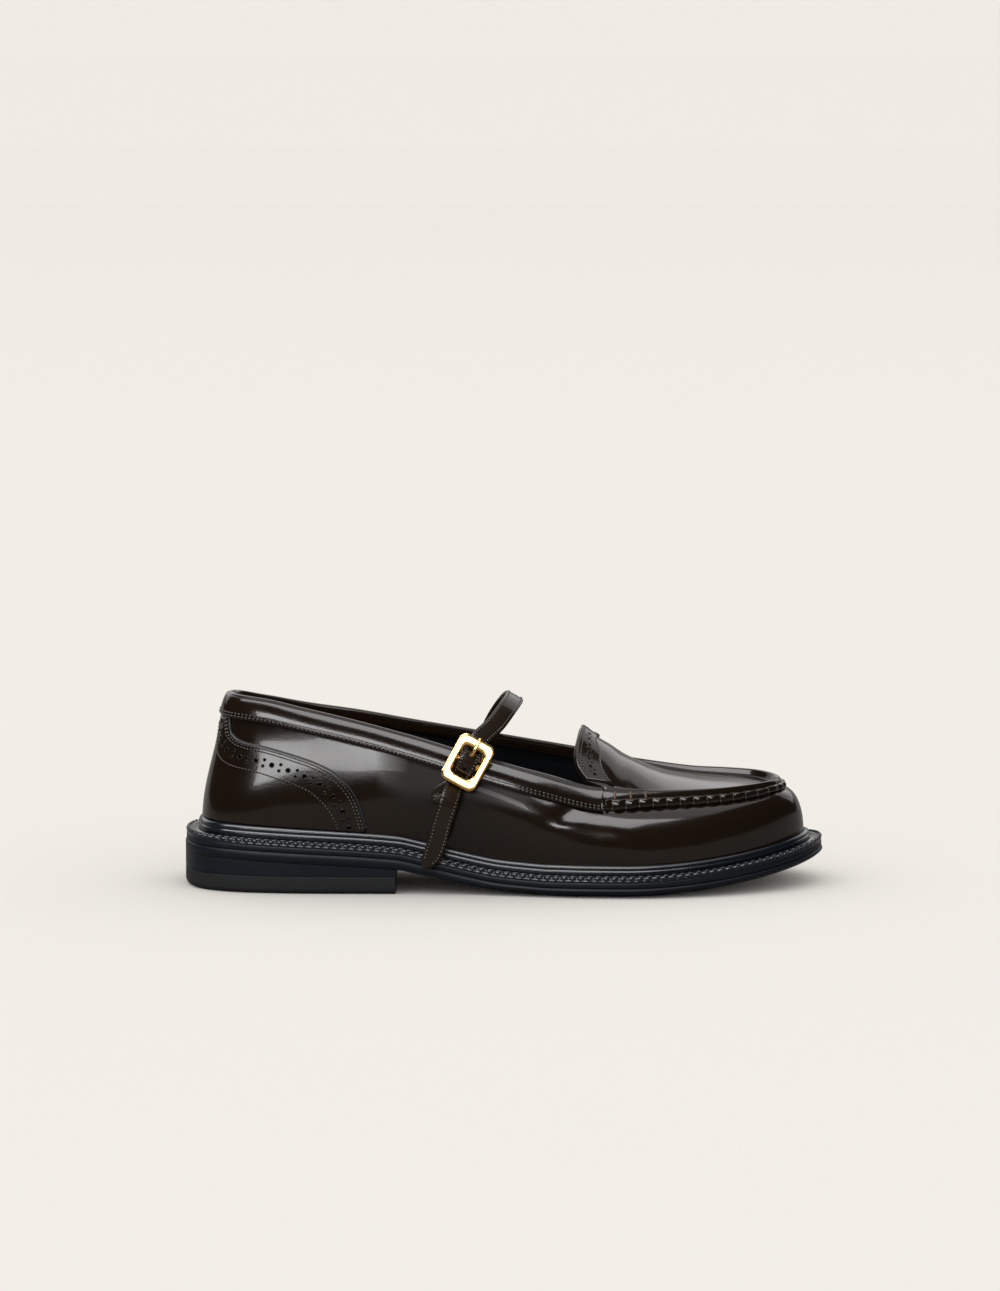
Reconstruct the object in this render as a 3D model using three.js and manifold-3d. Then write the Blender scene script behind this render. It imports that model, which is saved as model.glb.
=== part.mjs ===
import * as THREE from "three";
import Module from "manifold-3d";
import { mergeVertices } from "three/addons/utils/BufferGeometryUtils.js";

const wasm = await Module();
wasm.setup();

// Strap loafer, right foot. Millimetres, toe to +X, outer side to -Y, +Z up.
// Tables below are read along the sole from the heel (0) to the toe (1). Heights are shares of
// toplineHeight, widths are shares of ballWidth, and lengths are shares of soleLength.

// Driving dimensions of the sole
const soleLength = 268;
const ballWidth = 98;
const heelLength = 88.6;
const heelSeatHeight = 14.8;
const topLiftThickness = 7.3;
const outsoleThickness = 4.1;
const midsoleThickness = 2.6;
const weltThickness = 2.1;
const insoleThickness = 2.4;
const toeSpring = 11;
const flatStart = 150;
const flatEnd = 182;
const outsoleEdgeRise = 2.1;
const outsoleEdgeReach = 9;
const heelCornerRadius = 2.4;
const weltSetback = 0.5;
const weltMargin = 5.4;
const weltUnderlap = 4;
const weltChamfer = 0.5;
const insoleClearance = 1;
const randWidth = 2.4;
const randHeightHeel = 5.1;
const randHeightToe = 3.6;

// Driving dimensions of the upper
const wall = 2;
const footBend = 0.38;
const rollBend = 0.65;
const rollLean = 0.2;
const toplineHeight = 80;
const toplineBack = 18.6;
const apronTip = 250;
const throatPlace = 175;
const lipDepth = 2.5;
const lipWidth = 2.2;
const lipRunIn = 11;
const tongueThickness = 1.6;

// Driving dimensions of what is sewn on the upper
const bandThickness = 1.2;
const counterThickness = 1.1;
const seamThickness = 1.5;
const seamShare = 0.56;
const stripThickness = 1;
const stripWidth = 8.5;

// Driving dimensions of the strap and its buckle
const strapWidth = 8;
const strapThickness = 1.4;
const strapTipLength = 9;
const buckleWidth = 16;
const buckleLength = 21.2;
const buckleThickness = 2.8;
const centreBarWidth = 1.8;
const centreBarDepth = 1;
const centreBarSetback = 1.3;
const buckleSideBar = 2.6;
const buckleEndBar = 3.7;
const buckleCorner = 3.2;
const bucklePlace = 118.8;
const buckleHeight = 55.7;
const buckleStandOff = 5.4;
const buckleLean = 29;
const buckleTilt = 8;
const prongWidth = 1.5;
const prongDepth = 0.8;
const tabWidth = 7.6;
const tabThickness = 0.8;
const tabLength = 13;
const tabDrop = 1.28;

// Clearances
const gap = 0.3;

// Outline of the sole, from the heel's back to the toe
const outlineRows = [
  { along: 0, outer: 0, inner: 0 },
  { along: 0.02, outer: 0.2, inner: 0.2 },
  { along: 0.06, outer: 0.287, inner: 0.287 },
  { along: 0.12, outer: 0.335, inner: 0.332 },
  { along: 0.2, outer: 0.356, inner: 0.338 },
  { along: 0.33, outer: 0.362, inner: 0.302 },
  { along: 0.45, outer: 0.386, inner: 0.3 },
  { along: 0.55, outer: 0.438, inner: 0.36 },
  { along: 0.63, outer: 0.474, inner: 0.44 },
  { along: 0.7, outer: 0.482, inner: 0.488 },
  { along: 0.78, outer: 0.455, inner: 0.496 },
  { along: 0.86, outer: 0.388, inner: 0.455 },
  { along: 0.93, outer: 0.282, inner: 0.36 },
  { along: 0.97, outer: 0.18, inner: 0.25 },
  { along: 1, outer: -0.03, inner: 0.03 },
];

// Underside of the sole between the heel's back (0) and the start of the tread (1)
const archRows = [
  { along: 0, height: 1 },
  { along: 0.3, height: 0.875 },
  { along: 0.59, height: 0.7 },
  { along: 0.66, height: 0.56 },
  { along: 0.77, height: 0.29 },
  { along: 0.88, height: 0.085 },
  { along: 1, height: 0 },
];

// Top line of the upper and crest of the apron's lip, from the back (0) to the toe (1). The edge
// line runs below it, under the collar band and at the foot of the lip. Swells shape the wall.
const topRows = [
  { along: 0, outer: 0, inner: 0, zOuter: 0.995, zInner: 0.995,
    edgeOut: 0.026, edgeDrop: 0.105, lowSwell: 0.006, highSwell: 0.018, drop: 0.35 },
  { along: 0.011, outer: 0.083, inner: 0.083, zOuter: 0.99, zInner: 0.985,
    edgeOut: 0.026, edgeDrop: 0.105, lowSwell: 0.008, highSwell: 0.018, drop: 0.35 },
  { along: 0.063, outer: 0.15, inner: 0.15, zOuter: 0.976, zInner: 0.95,
    edgeOut: 0.026, edgeDrop: 0.105, lowSwell: 0.02, highSwell: 0.022, drop: 0.35 },
  { along: 0.149, outer: 0.2, inner: 0.2, zOuter: 0.927, zInner: 0.898,
    edgeOut: 0.028, edgeDrop: 0.105, lowSwell: 0.034, highSwell: 0.032, drop: 0.35 },
  { along: 0.23, outer: 0.22, inner: 0.217, zOuter: 0.874, zInner: 0.862,
    edgeOut: 0.028, edgeDrop: 0.106, lowSwell: 0.037, highSwell: 0.034, drop: 0.35 },
  { along: 0.331, outer: 0.253, inner: 0.24, zOuter: 0.8, zInner: 0.806,
    edgeOut: 0.03, edgeDrop: 0.107, lowSwell: 0.038, highSwell: 0.038, drop: 0.33 },
  { along: 0.45, outer: 0.292, inner: 0.27, zOuter: 0.702, zInner: 0.742,
    edgeOut: 0.032, edgeDrop: 0.107, lowSwell: 0.035, highSwell: 0.042, drop: 0.31 },
  { along: 0.56, outer: 0.315, inner: 0.295, zOuter: 0.618, zInner: 0.684,
    edgeOut: 0.034, edgeDrop: 0.107, lowSwell: 0.03, highSwell: 0.047, drop: 0.28 },
  { along: 0.678, outer: 0.318, inner: 0.308, zOuter: 0.538, zInner: 0.624,
    edgeOut: 0.032, edgeDrop: 0.105, lowSwell: 0.028, highSwell: 0.058, drop: 0.24 },
  { along: 0.755, outer: 0.298, inner: 0.3, zOuter: 0.531, zInner: 0.592,
    edgeOut: 0.022, edgeDrop: 0.084, lowSwell: 0.026, highSwell: 0.076, drop: 0.18 },
  { along: 0.867, outer: 0.245, inner: 0.265, zOuter: 0.534, zInner: 0.562,
    edgeOut: 0.017, edgeDrop: 0.078, lowSwell: 0.022, highSwell: 0.087, drop: 0.1 },
  { along: 0.948, outer: 0.168, inner: 0.192, zOuter: 0.544, zInner: 0.562,
    edgeOut: 0.014, edgeDrop: 0.069, lowSwell: 0.014, highSwell: 0.085, drop: 0.05 },
  { along: 0.983, outer: 0.105, inner: 0.12, zOuter: 0.551, zInner: 0.558,
    edgeOut: 0.013, edgeDrop: 0.058, lowSwell: 0.01, highSwell: 0.078, drop: 0.03 },
  { along: 1, outer: -0.01, inner: 0.01, zOuter: 0.548, zInner: 0.548,
    edgeOut: 0.012, edgeDrop: 0.052, lowSwell: 0.008, highSwell: 0.074, drop: 0.02 },
];

// Middle line of the apron and tongue, from the throat (0) to the apron's tip (1)
const apronRows = [
  { along: 0, height: 0.738 },
  { along: 0.04, height: 0.717 },
  { along: 0.128, height: 0.66 },
  { along: 0.213, height: 0.62 },
  { along: 0.3, height: 0.584 },
  { along: 0.405, height: 0.556 },
  { along: 0.672, height: 0.528 },
  { along: 0.876, height: 0.522 },
  { along: 1, height: 0.517 },
];

// Free edge of the tongue behind the throat, from the middle (0) to its corner (1)
const tongueRows = [
  { across: 0, reach: 0.031, rise: 0.062 },
  { across: 0.3, reach: 0.036, rise: 0.061 },
  { across: 0.6, reach: 0.042, rise: 0.05 },
  { across: 0.75, reach: 0.039, rise: 0.037 },
  { across: 0.87, reach: 0.028, rise: 0.016 },
  { across: 0.95, reach: 0.014, rise: 0.004 },
  { across: 1, reach: 0.006, rise: 0 },
];

// Upper edge of the heel counter, round from the heel's back; heights are above the floor
const counterRows = [
  { turn: 0, height: 0.9 },
  { turn: 0.07, height: 0.9 },
  { turn: 0.09, height: 0.81 },
  { turn: 0.129, height: 0.768 },
  { turn: 0.1855, height: 0.745 },
  { turn: 0.2553, height: 0.69 },
  { turn: 0.291, height: 0.64 },
  { turn: 0.316, height: 0.577 },
  { turn: 0.3356, height: 0.502 },
  { turn: 0.3483, height: 0.424 },
  { turn: 0.358, height: 0.335 },
];

const heelStations = 16;
const backStations = 20;
const toeStations = 13;
const wallRows = 10;
const edgeRow = 7;

// Smooth reading of a table's column between its rows
function read(rows, column, place, key = "along") {
  const last = rows.length - 1;
  let i = 0;
  while (i < last - 1 && place > rows[i + 1][key]) {
    i += 1;
  }
  const a = rows[i];
  const b = rows[i + 1];
  const width = b[key] - a[key];
  const t = THREE.MathUtils.clamp((place - a[key]) / width, 0, 1);
  const slope = (b[column] - a[column]) / width;
  const before = i > 0 ? (a[column] - rows[i - 1][column]) / (a[key] - rows[i - 1][key]) : slope;
  const after = i < last - 1 ? (rows[i + 2][column] - b[column]) / (rows[i + 2][key] - b[key]) : slope;
  const startSlope = limitedSlope(before, slope);
  const endSlope = limitedSlope(slope, after);
  const t2 = t * t;
  const t3 = t2 * t;
  return (2 * t3 - 3 * t2 + 1) * a[column] + (t3 - 2 * t2 + t) * width * startSlope
    + (3 * t2 - 2 * t3) * b[column] + (t3 - t2) * width * endSlope;
}

// Slope at a row that never overshoots its neighbours
function limitedSlope(before, after) {
  if (before * after <= 0) {
    return 0;
  }
  return (2 * before * after) / (before + after);
}

// Width tables run round the ends, so they are read by the angle that x turns through
function turned(rows) {
  return rows.map((row) => ({ ...row, turn: Math.acos(1 - 2 * row.along) / Math.PI }));
}

const outline = turned(outlineRows);
const topLine = turned(topRows);

function alongAt(turn) {
  return (1 - Math.cos(Math.PI * turn)) / 2;
}

function turnAt(along) {
  return Math.acos(1 - 2 * along) / Math.PI;
}

// side is -1 on the outer side and 1 on the inner side
function sideColumn(side, outer, inner) {
  return side < 0 ? outer : inner;
}

function outlinePoint(side, turn) {
  const width = read(outline, sideColumn(side, "outer", "inner"), turn, "turn") * ballWidth;
  return new THREE.Vector2(alongAt(turn) * soleLength, side * width);
}

// Direction out of the sole's outline, level with the floor
function outward(side, turn) {
  const step = 0.01;
  const before = turn < step ? outlinePoint(-side, step - turn) : outlinePoint(side, turn - step);
  const after = turn > 1 - step ? outlinePoint(-side, 2 - turn - step) : outlinePoint(side, turn + step);
  const along = after.sub(before).normalize();
  return new THREE.Vector2(-side * along.y, side * along.x);
}

function insetPoint(side, turn, inset) {
  const out = outward(side, turn);
  return outlinePoint(side, turn).addScaledVector(out, -inset);
}

// Height of the sole's underside above the floor
function underside(x) {
  if (x < flatStart) {
    return heelSeatHeight * read(archRows, "height", Math.max(x, 0) / flatStart);
  }
  if (x < flatEnd) {
    return 0;
  }
  return toeSpring * ((x - flatEnd) / (soleLength - flatEnd)) ** 1.9;
}

const midsoleBase = outsoleThickness;
const weltBase = midsoleBase + midsoleThickness;
const weltTop = weltBase + weltThickness;
const footInset = weltMargin + randWidth + gap;

function randHeight(x) {
  return THREE.MathUtils.lerp(randHeightHeel, randHeightToe, Math.min(x / soleLength, 1));
}

const breastTurn = turnAt(heelLength / soleLength);

// Stations from the heel to the toe, with one exactly at each corner of the throat
const toplineSpan = apronTip - toplineBack;
const throatTurn = turnAt((throatPlace - toplineBack) / toplineSpan);

function stationTurns() {
  const turns = [];
  for (let i = 0; i < backStations; i += 1) {
    turns.push((throatTurn * i) / backStations);
  }
  for (let i = 0; i <= toeStations; i += 1) {
    turns.push(throatTurn + ((1 - throatTurn) * i) / toeStations);
  }
  return turns;
}

// Stations all round the shoe: out along the outer side and back along the inner side
function stationsAround() {
  const turns = stationTurns();
  return [
    ...turns.map((turn) => ({ side: -1, turn })),
    ...turns.slice(1, -1).reverse().map((turn) => ({ side: 1, turn })),
  ];
}

// Stations round the heel alone, from its breast on the outer side to its breast on the inner side
function stationsOfHeel() {
  const turns = [];
  for (let i = 0; i <= heelStations; i += 1) {
    turns.push((breastTurn * i) / heelStations);
  }
  return [
    ...turns.map((turn) => ({ side: -1, turn })),
    ...turns.slice(1).reverse().map((turn) => ({ side: 1, turn })),
  ];
}

// A loop of points on the sole's outline, moved inwards
function loop(inset, height, stations = stationsAround()) {
  return stations.map(({ side, turn }) => {
    const flat = insetPoint(side, turn, inset);
    return new THREE.Vector3(flat.x, flat.y, height(flat.x));
  });
}

// Closed body from vertices and faces, turned so that its faces point out
function bodyFrom(vertices, faces) {
  const kept = faces.filter(([a, b, c]) => {
    const near = 1e-3;
    const [p, q, r] = [vertices[a], vertices[b], vertices[c]];
    return p.distanceTo(q) > near && q.distanceTo(r) > near && r.distanceTo(p) > near;
  });
  let volume = 0;
  for (const [a, b, c] of kept) {
    volume += vertices[a].dot(new THREE.Vector3().crossVectors(vertices[b], vertices[c]));
  }
  const geometry = new THREE.BufferGeometry();
  const positions = vertices.flatMap((vertex) => vertex.toArray());
  const turnedOut = volume > 0 ? kept : kept.map(([a, b, c]) => [a, c, b]);
  geometry.setAttribute("position", new THREE.Float32BufferAttribute(positions, 3));
  geometry.setIndex(turnedOut.flat());
  geometry.computeVertexNormals();
  return geometry;
}

// Body lofted through loops of equal length; the first and last are filled, or joined as a ring
function loftLoops(loops, ring = false) {
  const count = loops[0].length;
  const vertices = loops.flat();
  const faces = [];
  const spans = ring ? loops.length : loops.length - 1;
  for (let row = 0; row < spans; row += 1) {
    const low = row * count;
    const high = ((row + 1) % loops.length) * count;
    for (let i = 0; i < count; i += 1) {
      const next = (i + 1) % count;
      faces.push([low + i, low + next, high + next], [low + i, high + next, high + i]);
    }
  }
  if (!ring) {
    faces.push(...ladder(count, 0, true), ...ladder(count, spans * count, false));
  }
  return bodyFrom(vertices, faces);
}

// Faces that fill a loop with strips from one side to the other
function ladder(count, start, flip) {
  const faces = [];
  for (let i = 0; i < Math.floor(count / 2); i += 1) {
    const corners = [i, i + 1, (count - i - 1) % count, (count - i) % count].map((k) => start + k);
    const [a, b, c, d] = flip ? corners.reverse() : corners;
    if (new Set([a, b, c]).size === 3) {
      faces.push([a, b, c]);
    }
    if (new Set([a, c, d]).size === 3) {
      faces.push([a, c, d]);
    }
  }
  return faces;
}

// Body between an outer and an inner sheet that share their faces
function shell(outer, inner, faces) {
  const shift = outer.length;
  const edges = new Map();
  for (const [a, b, c] of faces) {
    for (const [from, to] of [[a, b], [b, c], [c, a]]) {
      edges.set(`${from},${to}`, [from, to]);
    }
  }
  const all = [...faces, ...faces.map(([a, b, c]) => [a + shift, c + shift, b + shift])];
  for (const [from, to] of edges.values()) {
    if (!edges.has(`${to},${from}`)) {
      all.push([to, from, from + shift], [to, from + shift, to + shift]);
    }
  }
  return bodyFrom([...outer, ...inner], all);
}

// Faces of a grid of rows and columns; closed grids join their last row to the first
function gridFaces(rows, columns, closed = false, start = 0) {
  const faces = [];
  for (let row = 0; row < (closed ? rows : rows - 1); row += 1) {
    const next = (row + 1) % rows;
    for (let column = 0; column < columns - 1; column += 1) {
      const a = start + row * columns + column;
      const b = start + next * columns + column;
      faces.push([a, b, b + 1], [a, b + 1, a + 1]);
    }
  }
  return faces;
}

// Points of a sheet with repeated places merged, and its faces renumbered
function mergeSheet(points, faces) {
  const places = new Map();
  const renumber = points.map((point) => {
    const key = point.toArray().map((value) => Math.round(value * 1000)).join(",");
    if (!places.has(key)) {
      places.set(key, places.size);
    }
    return places.get(key);
  });
  const source = [];
  renumber.forEach((place, i) => {
    if (source[place] === undefined) {
      source[place] = i;
    }
  });
  const merged = faces.map((face) => face.map((i) => renumber[i]));
  return { source, faces: merged.filter((face) => new Set(face).size === 3) };
}

function sheetNormals(points, faces) {
  const normals = points.map(() => new THREE.Vector3());
  for (const [a, b, c] of faces) {
    const edge = points[b].clone().sub(points[a]);
    const normal = edge.cross(points[c].clone().sub(points[a]));
    for (const i of [a, b, c]) {
      normals[i].add(normal);
    }
  }
  return normals.map((normal) => normal.normalize());
}

// Wall of the upper: from its foot to the edge line, and on to the top line
function lipAt(x) {
  return lipDepth * THREE.MathUtils.smoothstep(x, throatPlace, throatPlace + lipRunIn);
}

function topPoint(side, turn) {
  const width = read(topLine, sideColumn(side, "outer", "inner"), turn, "turn") * ballWidth;
  const height = read(topLine, sideColumn(side, "zOuter", "zInner"), turn, "turn") * toplineHeight;
  const x = toplineBack + alongAt(turn) * toplineSpan;
  return new THREE.Vector3(x, side * width, height);
}

function moved(point, out, away, up) {
  return new THREE.Vector3(point.x + out.x * away, point.y + out.y * away, point.z + up);
}

function edgePoint(side, turn) {
  const away = ballWidth * read(topLine, "edgeOut", turn, "turn");
  const down = toplineHeight * read(topLine, "edgeDrop", turn, "turn");
  return moved(topPoint(side, turn), outward(side, turn), away, -down);
}

const edgeRise = edgeRow / wallRows;

function wallPoint(side, turn, rise) {
  const out = outward(side, turn);
  const edge = edgePoint(side, turn);
  if (rise > edgeRise) {
    const top = topPoint(side, turn);
    const bend = edge.clone().lerp(top, rollLean).setZ(THREE.MathUtils.lerp(edge.z, top.z, rollBend));
    const share = (rise - edgeRise) / (1 - edgeRise);
    return new THREE.QuadraticBezierCurve3(edge, bend, top).getPoint(share);
  }
  const flat = insetPoint(side, turn, footInset);
  const foot = new THREE.Vector3(flat.x, flat.y, underside(flat.x) + weltTop + gap);
  const height = edge.z - foot.z;
  const low = moved(foot, out, ballWidth * lowSwell(side, turn), height * footBend);
  const highSwell = ballWidth * read(topLine, "highSwell", turn, "turn");
  const high = moved(edge, out, highSwell, -height * read(topLine, "drop", turn, "turn"));
  return new THREE.CubicBezierCurve3(foot, low, high, edge).getPoint(rise / edgeRise);
}

// Point of the wall at a height above the floor
function wallAtHeight(side, turn, height) {
  return wallPoint(side, turn, riseAtHeight(side, turn, height));
}

function riseAtHeight(side, turn, height) {
  let low = 0;
  let high = 1;
  for (let i = 0; i < 24; i += 1) {
    const middle = (low + high) / 2;
    if (wallPoint(side, turn, middle).z < height) {
      low = middle;
    } else {
      high = middle;
    }
  }
  return (low + high) / 2;
}

// The wall swells over the narrow inner arch of the sole
const archOverhang = 0.055;
const archMiddle = 0.42;
const archReach = 0.2;

function lowSwell(side, turn) {
  const swell = read(topLine, "lowSwell", turn, "turn");
  const away = (turn - archMiddle) / archReach;
  return side > 0 ? swell + archOverhang * Math.exp(-away * away) : swell;
}

// Apron: an arch across from one top line to the other
function apronMiddle(x) {
  const along = (x - throatPlace) / (apronTip - throatPlace);
  return toplineHeight * read(apronRows, "height", THREE.MathUtils.clamp(along, 0, 1));
}

function apronPoint(turn, across) {
  const outer = topPoint(-1, turn);
  const inner = topPoint(1, turn);
  const point = outer.clone().lerp(inner, (across + 1) / 2);
  const crown = apronMiddle(outer.x) - (outer.z + inner.z) / 2 + lipAt(outer.x);
  point.z += crown * (1 - across * across) - lipAt(outer.x);
  return point;
}

// Places across the apron, close together at the raised lip
function apronColumns(turn) {
  const half = Math.max((topPoint(1, turn).y - topPoint(-1, turn).y) / 2, 1e-3);
  const lip = Math.min(lipWidth / half, 0.3);
  const edge = [-1, -1 + lip, -1 + lip * 1.4, -0.5, -0.25];
  return [...edge, 0, ...edge.map((value) => -value).reverse()];
}

// Outer points of the apron at a station; the first and last are the lip's crest
function apronRow(turn) {
  const columns = apronColumns(turn);
  const last = columns.length - 1;
  return columns.map((across, i) => {
    if (turn === 1 || i === 0 || i === last) {
      return topPoint(i === 0 ? -1 : 1, turn);
    }
    const point = apronPoint(turn, across);
    const onLip = i === 1 || i === last - 1;
    return onLip ? point.setZ(point.z + lipAt(point.x)) : point;
  });
}

// Inside of the upper under the lip's apron edge
function underLip(side, turn) {
  const columns = apronColumns(turn);
  const point = apronPoint(turn, side * -columns[2]);
  if (turn === 1) {
    point.x -= lipWidth * 1.4;
  }
  return point.setZ(point.z - wall);
}

function upperGeometry() {
  const around = stationsAround();
  const points = [];
  const insides = new Map();
  const lipSteps = wallRows - edgeRow + 2;
  for (const { side, turn } of around) {
    const start = points.length;
    for (let row = 0; row <= wallRows; row += 1) {
      if (row > edgeRow && turn >= throatTurn) {
        const share = (row - edgeRow) / lipSteps;
        insides.set(points.length, { from: start + edgeRow, to: underLip(side, turn), share });
      }
      points.push(wallPoint(side, turn, row / wallRows));
    }
  }
  const faces = gridFaces(around.length, wallRows + 1, true);
  const apronStart = points.length;
  const apronTurns = stationTurns().slice(backStations);
  apronTurns.forEach((turn, station) => {
    const row = apronRow(turn);
    const outerStation = backStations + station;
    const innerStation = (around.length - outerStation) % around.length;
    row.forEach((point, column) => {
      const fromEdge = Math.min(column, row.length - 1 - column);
      const side = column < row.length / 2 ? -1 : 1;
      const station = side < 0 ? outerStation : innerStation;
      if (fromEdge === 1 || fromEdge === 2) {
        const share = fromEdge === 1 ? 1 - 1 / lipSteps : 1;
        const from = station * (wallRows + 1) + edgeRow;
        insides.set(points.length, { from, to: underLip(side, turn), share });
      }
      points.push(point);
    });
  });
  const columns = apronColumns(1).length;
  faces.push(...gridFaces(apronTurns.length, columns, false, apronStart));
  const sheet = mergeSheet(points, faces);
  const outer = sheet.source.map((i) => points[i]);
  const normals = sheetNormals(outer, sheet.faces);
  const place = new Map(sheet.source.map((source, i) => [source, i]));
  const offset = (i) => outer[i].clone().addScaledVector(normals[i], -wall);
  const inner = outer.map((point, i) => {
    const inside = insides.get(sheet.source[i]);
    if (!inside) {
      return offset(i);
    }
    return offset(place.get(inside.from)).lerp(inside.to, inside.share);
  });
  return shell(outer, inner, sheet.faces);
}

// Tongue: the apron's arch at the throat drawn back to a rounded free edge
function tonguePoint(across, along) {
  const share = Math.abs(across);
  const point = apronPoint(throatTurn, across);
  point.x -= 2 * gap + along * soleLength * read(tongueRows, "reach", share, "across");
  point.z += along * toplineHeight * read(tongueRows, "rise", share, "across");
  return point;
}

function tongueGeometry() {
  const tongueColumns = 20;
  const tongueSteps = 4;
  const tongueEdge = 0.92;
  const points = [];
  for (let row = 0; row <= tongueSteps; row += 1) {
    for (let column = 0; column <= tongueColumns; column += 1) {
      const across = tongueEdge * ((2 * column) / tongueColumns - 1);
      points.push(tonguePoint(across, row / tongueSteps));
    }
  }
  const faces = gridFaces(tongueSteps + 1, tongueColumns + 1);
  const normals = sheetNormals(points, faces);
  const inner = points.map((point, i) => {
    const down = normals[i].z > 0 ? -tongueThickness : tongueThickness;
    return point.clone().addScaledVector(normals[i], down);
  });
  return shell(points, inner, faces);
}

// Sole pieces
function outsoleGeometry() {
  const raised = (share) => (x) => underside(x) + outsoleEdgeRise * share * edgeShare(x);
  return loftLoops([
    loop(outsoleEdgeReach, raised(0)),
    loop(outsoleEdgeReach * 0.45, raised(0.3)),
    loop(outsoleEdgeReach * 0.08, raised(1)),
    loop(0, (x) => raised(1.3)(x)),
    loop(0, (x) => underside(x) + midsoleBase - gap),
  ]);
}

// The tread's edge lifts off the floor in front of the heel only
function edgeShare(x) {
  return THREE.MathUtils.smoothstep(x, heelLength, flatStart);
}

function midsoleGeometry() {
  return loftLoops([
    loop(weltSetback, (x) => underside(x) + midsoleBase),
    loop(weltSetback, (x) => underside(x) + weltBase - gap),
  ]);
}

function weltGeometry() {
  const low = (x) => underside(x) + weltBase;
  const high = (x) => underside(x) + weltTop;
  const innerEdge = footInset + wall + weltUnderlap;
  return loftLoops([
    loop(weltSetback, low),
    loop(weltSetback, (x) => high(x) - weltChamfer),
    loop(weltSetback + weltChamfer, high),
    loop(innerEdge, high),
    loop(innerEdge, low),
  ], true);
}

// The rand follows the foot of the upper's wall
function randLoop(level, width) {
  return stationsAround().map(({ side, turn }) => {
    const foot = wallPoint(side, turn, 0);
    const point = wallAtHeight(side, turn, foot.z + level * randHeight(foot.x));
    const out = outward(side, turn);
    const away = gap + width * randWidth;
    const x = point.x + out.x * away;
    const height = underside(x) + weltTop + gap + level * randHeight(x);
    return new THREE.Vector3(x, point.y + out.y * away, height);
  });
}

function randGeometry() {
  return loftLoops([
    randLoop(0, 0.95),
    randLoop(0.35, 1),
    randLoop(0.75, 0.8),
    randLoop(1, 0.4),
    randLoop(0.97, 0.05),
    randLoop(0, 0),
  ], true);
}

function insoleGeometry() {
  const inset = footInset + wall + insoleClearance;
  const base = weltTop + gap;
  return loftLoops([
    loop(inset, (x) => underside(x) + base),
    loop(inset, (x) => underside(x) + base + insoleThickness),
  ]);
}

function heelStackGeometry() {
  return loftLoops([
    loop(0, () => topLiftThickness + gap, stationsOfHeel()),
    loop(0, (x) => underside(x) - gap, stationsOfHeel()),
  ]);
}

function topLiftGeometry() {
  return loftLoops([
    loop(heelCornerRadius, () => 0, stationsOfHeel()),
    loop(heelCornerRadius * 0.3, () => heelCornerRadius * 0.3, stationsOfHeel()),
    loop(0, () => heelCornerRadius, stationsOfHeel()),
    loop(0, () => topLiftThickness, stationsOfHeel()),
  ]);
}

// Overlays: sheets that follow the upper's wall with a gap below them
function overlay(rows, columns, pointAt, thickness) {
  const points = [];
  for (let row = 0; row < rows; row += 1) {
    for (let column = 0; column < columns; column += 1) {
      points.push(pointAt(row, column));
    }
  }
  const faces = gridFaces(rows, columns);
  const normals = sheetNormals(points, faces);
  const lifted = (away) => points.map((point, i) => point.clone().addScaledVector(normals[i], away));
  return shell(lifted(gap + thickness), lifted(gap), faces);
}

// Stations from a turn on the inner side, back round the heel or toe, to the same on the outer side
function stationsRoundHeel(turns) {
  const inner = [...turns].reverse().map((turn) => ({ side: 1, turn }));
  return [...inner, ...turns.filter((turn) => turn > 0).map((turn) => ({ side: -1, turn }))];
}

function stationsRoundToe() {
  const start = throatTurn + 2 * gap / toplineSpan;
  const turns = [start, ...stationTurns().slice(backStations + 1)];
  const outer = turns.map((turn) => ({ side: -1, turn }));
  return [...outer, ...turns.slice(0, -1).reverse().map((turn) => ({ side: 1, turn }))];
}

function collarBandGeometry() {
  const stations = stationsRoundHeel(stationTurns().slice(0, backStations + 1));
  const rows = wallRows - edgeRow + 1;
  const pointAt = (row, column) => {
    const { side, turn } = stations[row];
    return wallPoint(side, turn, (edgeRow + column) / wallRows);
  };
  return overlay(stations.length, rows, pointAt, bandThickness);
}

function seamGeometry() {
  const stations = stationsRoundToe();
  const pointAt = (row, column) => {
    const { side, turn } = stations[row];
    return wallPoint(side, turn, edgeRise + (1 - edgeRise) * seamShare * (column / 2));
  };
  return overlay(stations.length, 3, pointAt, seamThickness);
}

function counterGeometry() {
  const end = counterRows[counterRows.length - 1].turn;
  const corners = counterRows.map((row) => row.turn);
  const shared = stationTurns().filter((turn) => {
    return turn < end && corners.every((corner) => Math.abs(corner - turn) > 0.008);
  });
  const stations = stationsRoundHeel([...shared, ...corners].sort((a, b) => a - b));
  const rows = 7;
  const pointAt = (row, column) => {
    const { side, turn } = stations[row];
    const foot = wallPoint(side, turn, 0);
    const low = riseAtHeight(side, turn, foot.z + randHeight(foot.x) + 2 * gap);
    const height = toplineHeight * read(counterRows, "height", turn, "turn");
    const top = Math.min(height, edgePoint(side, turn).z - 2 * gap);
    const high = riseAtHeight(side, turn, top);
    return wallPoint(side, turn, THREE.MathUtils.lerp(low, high, column / (rows - 1)));
  };
  return overlay(stations.length, rows, pointAt, counterThickness);
}

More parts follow.
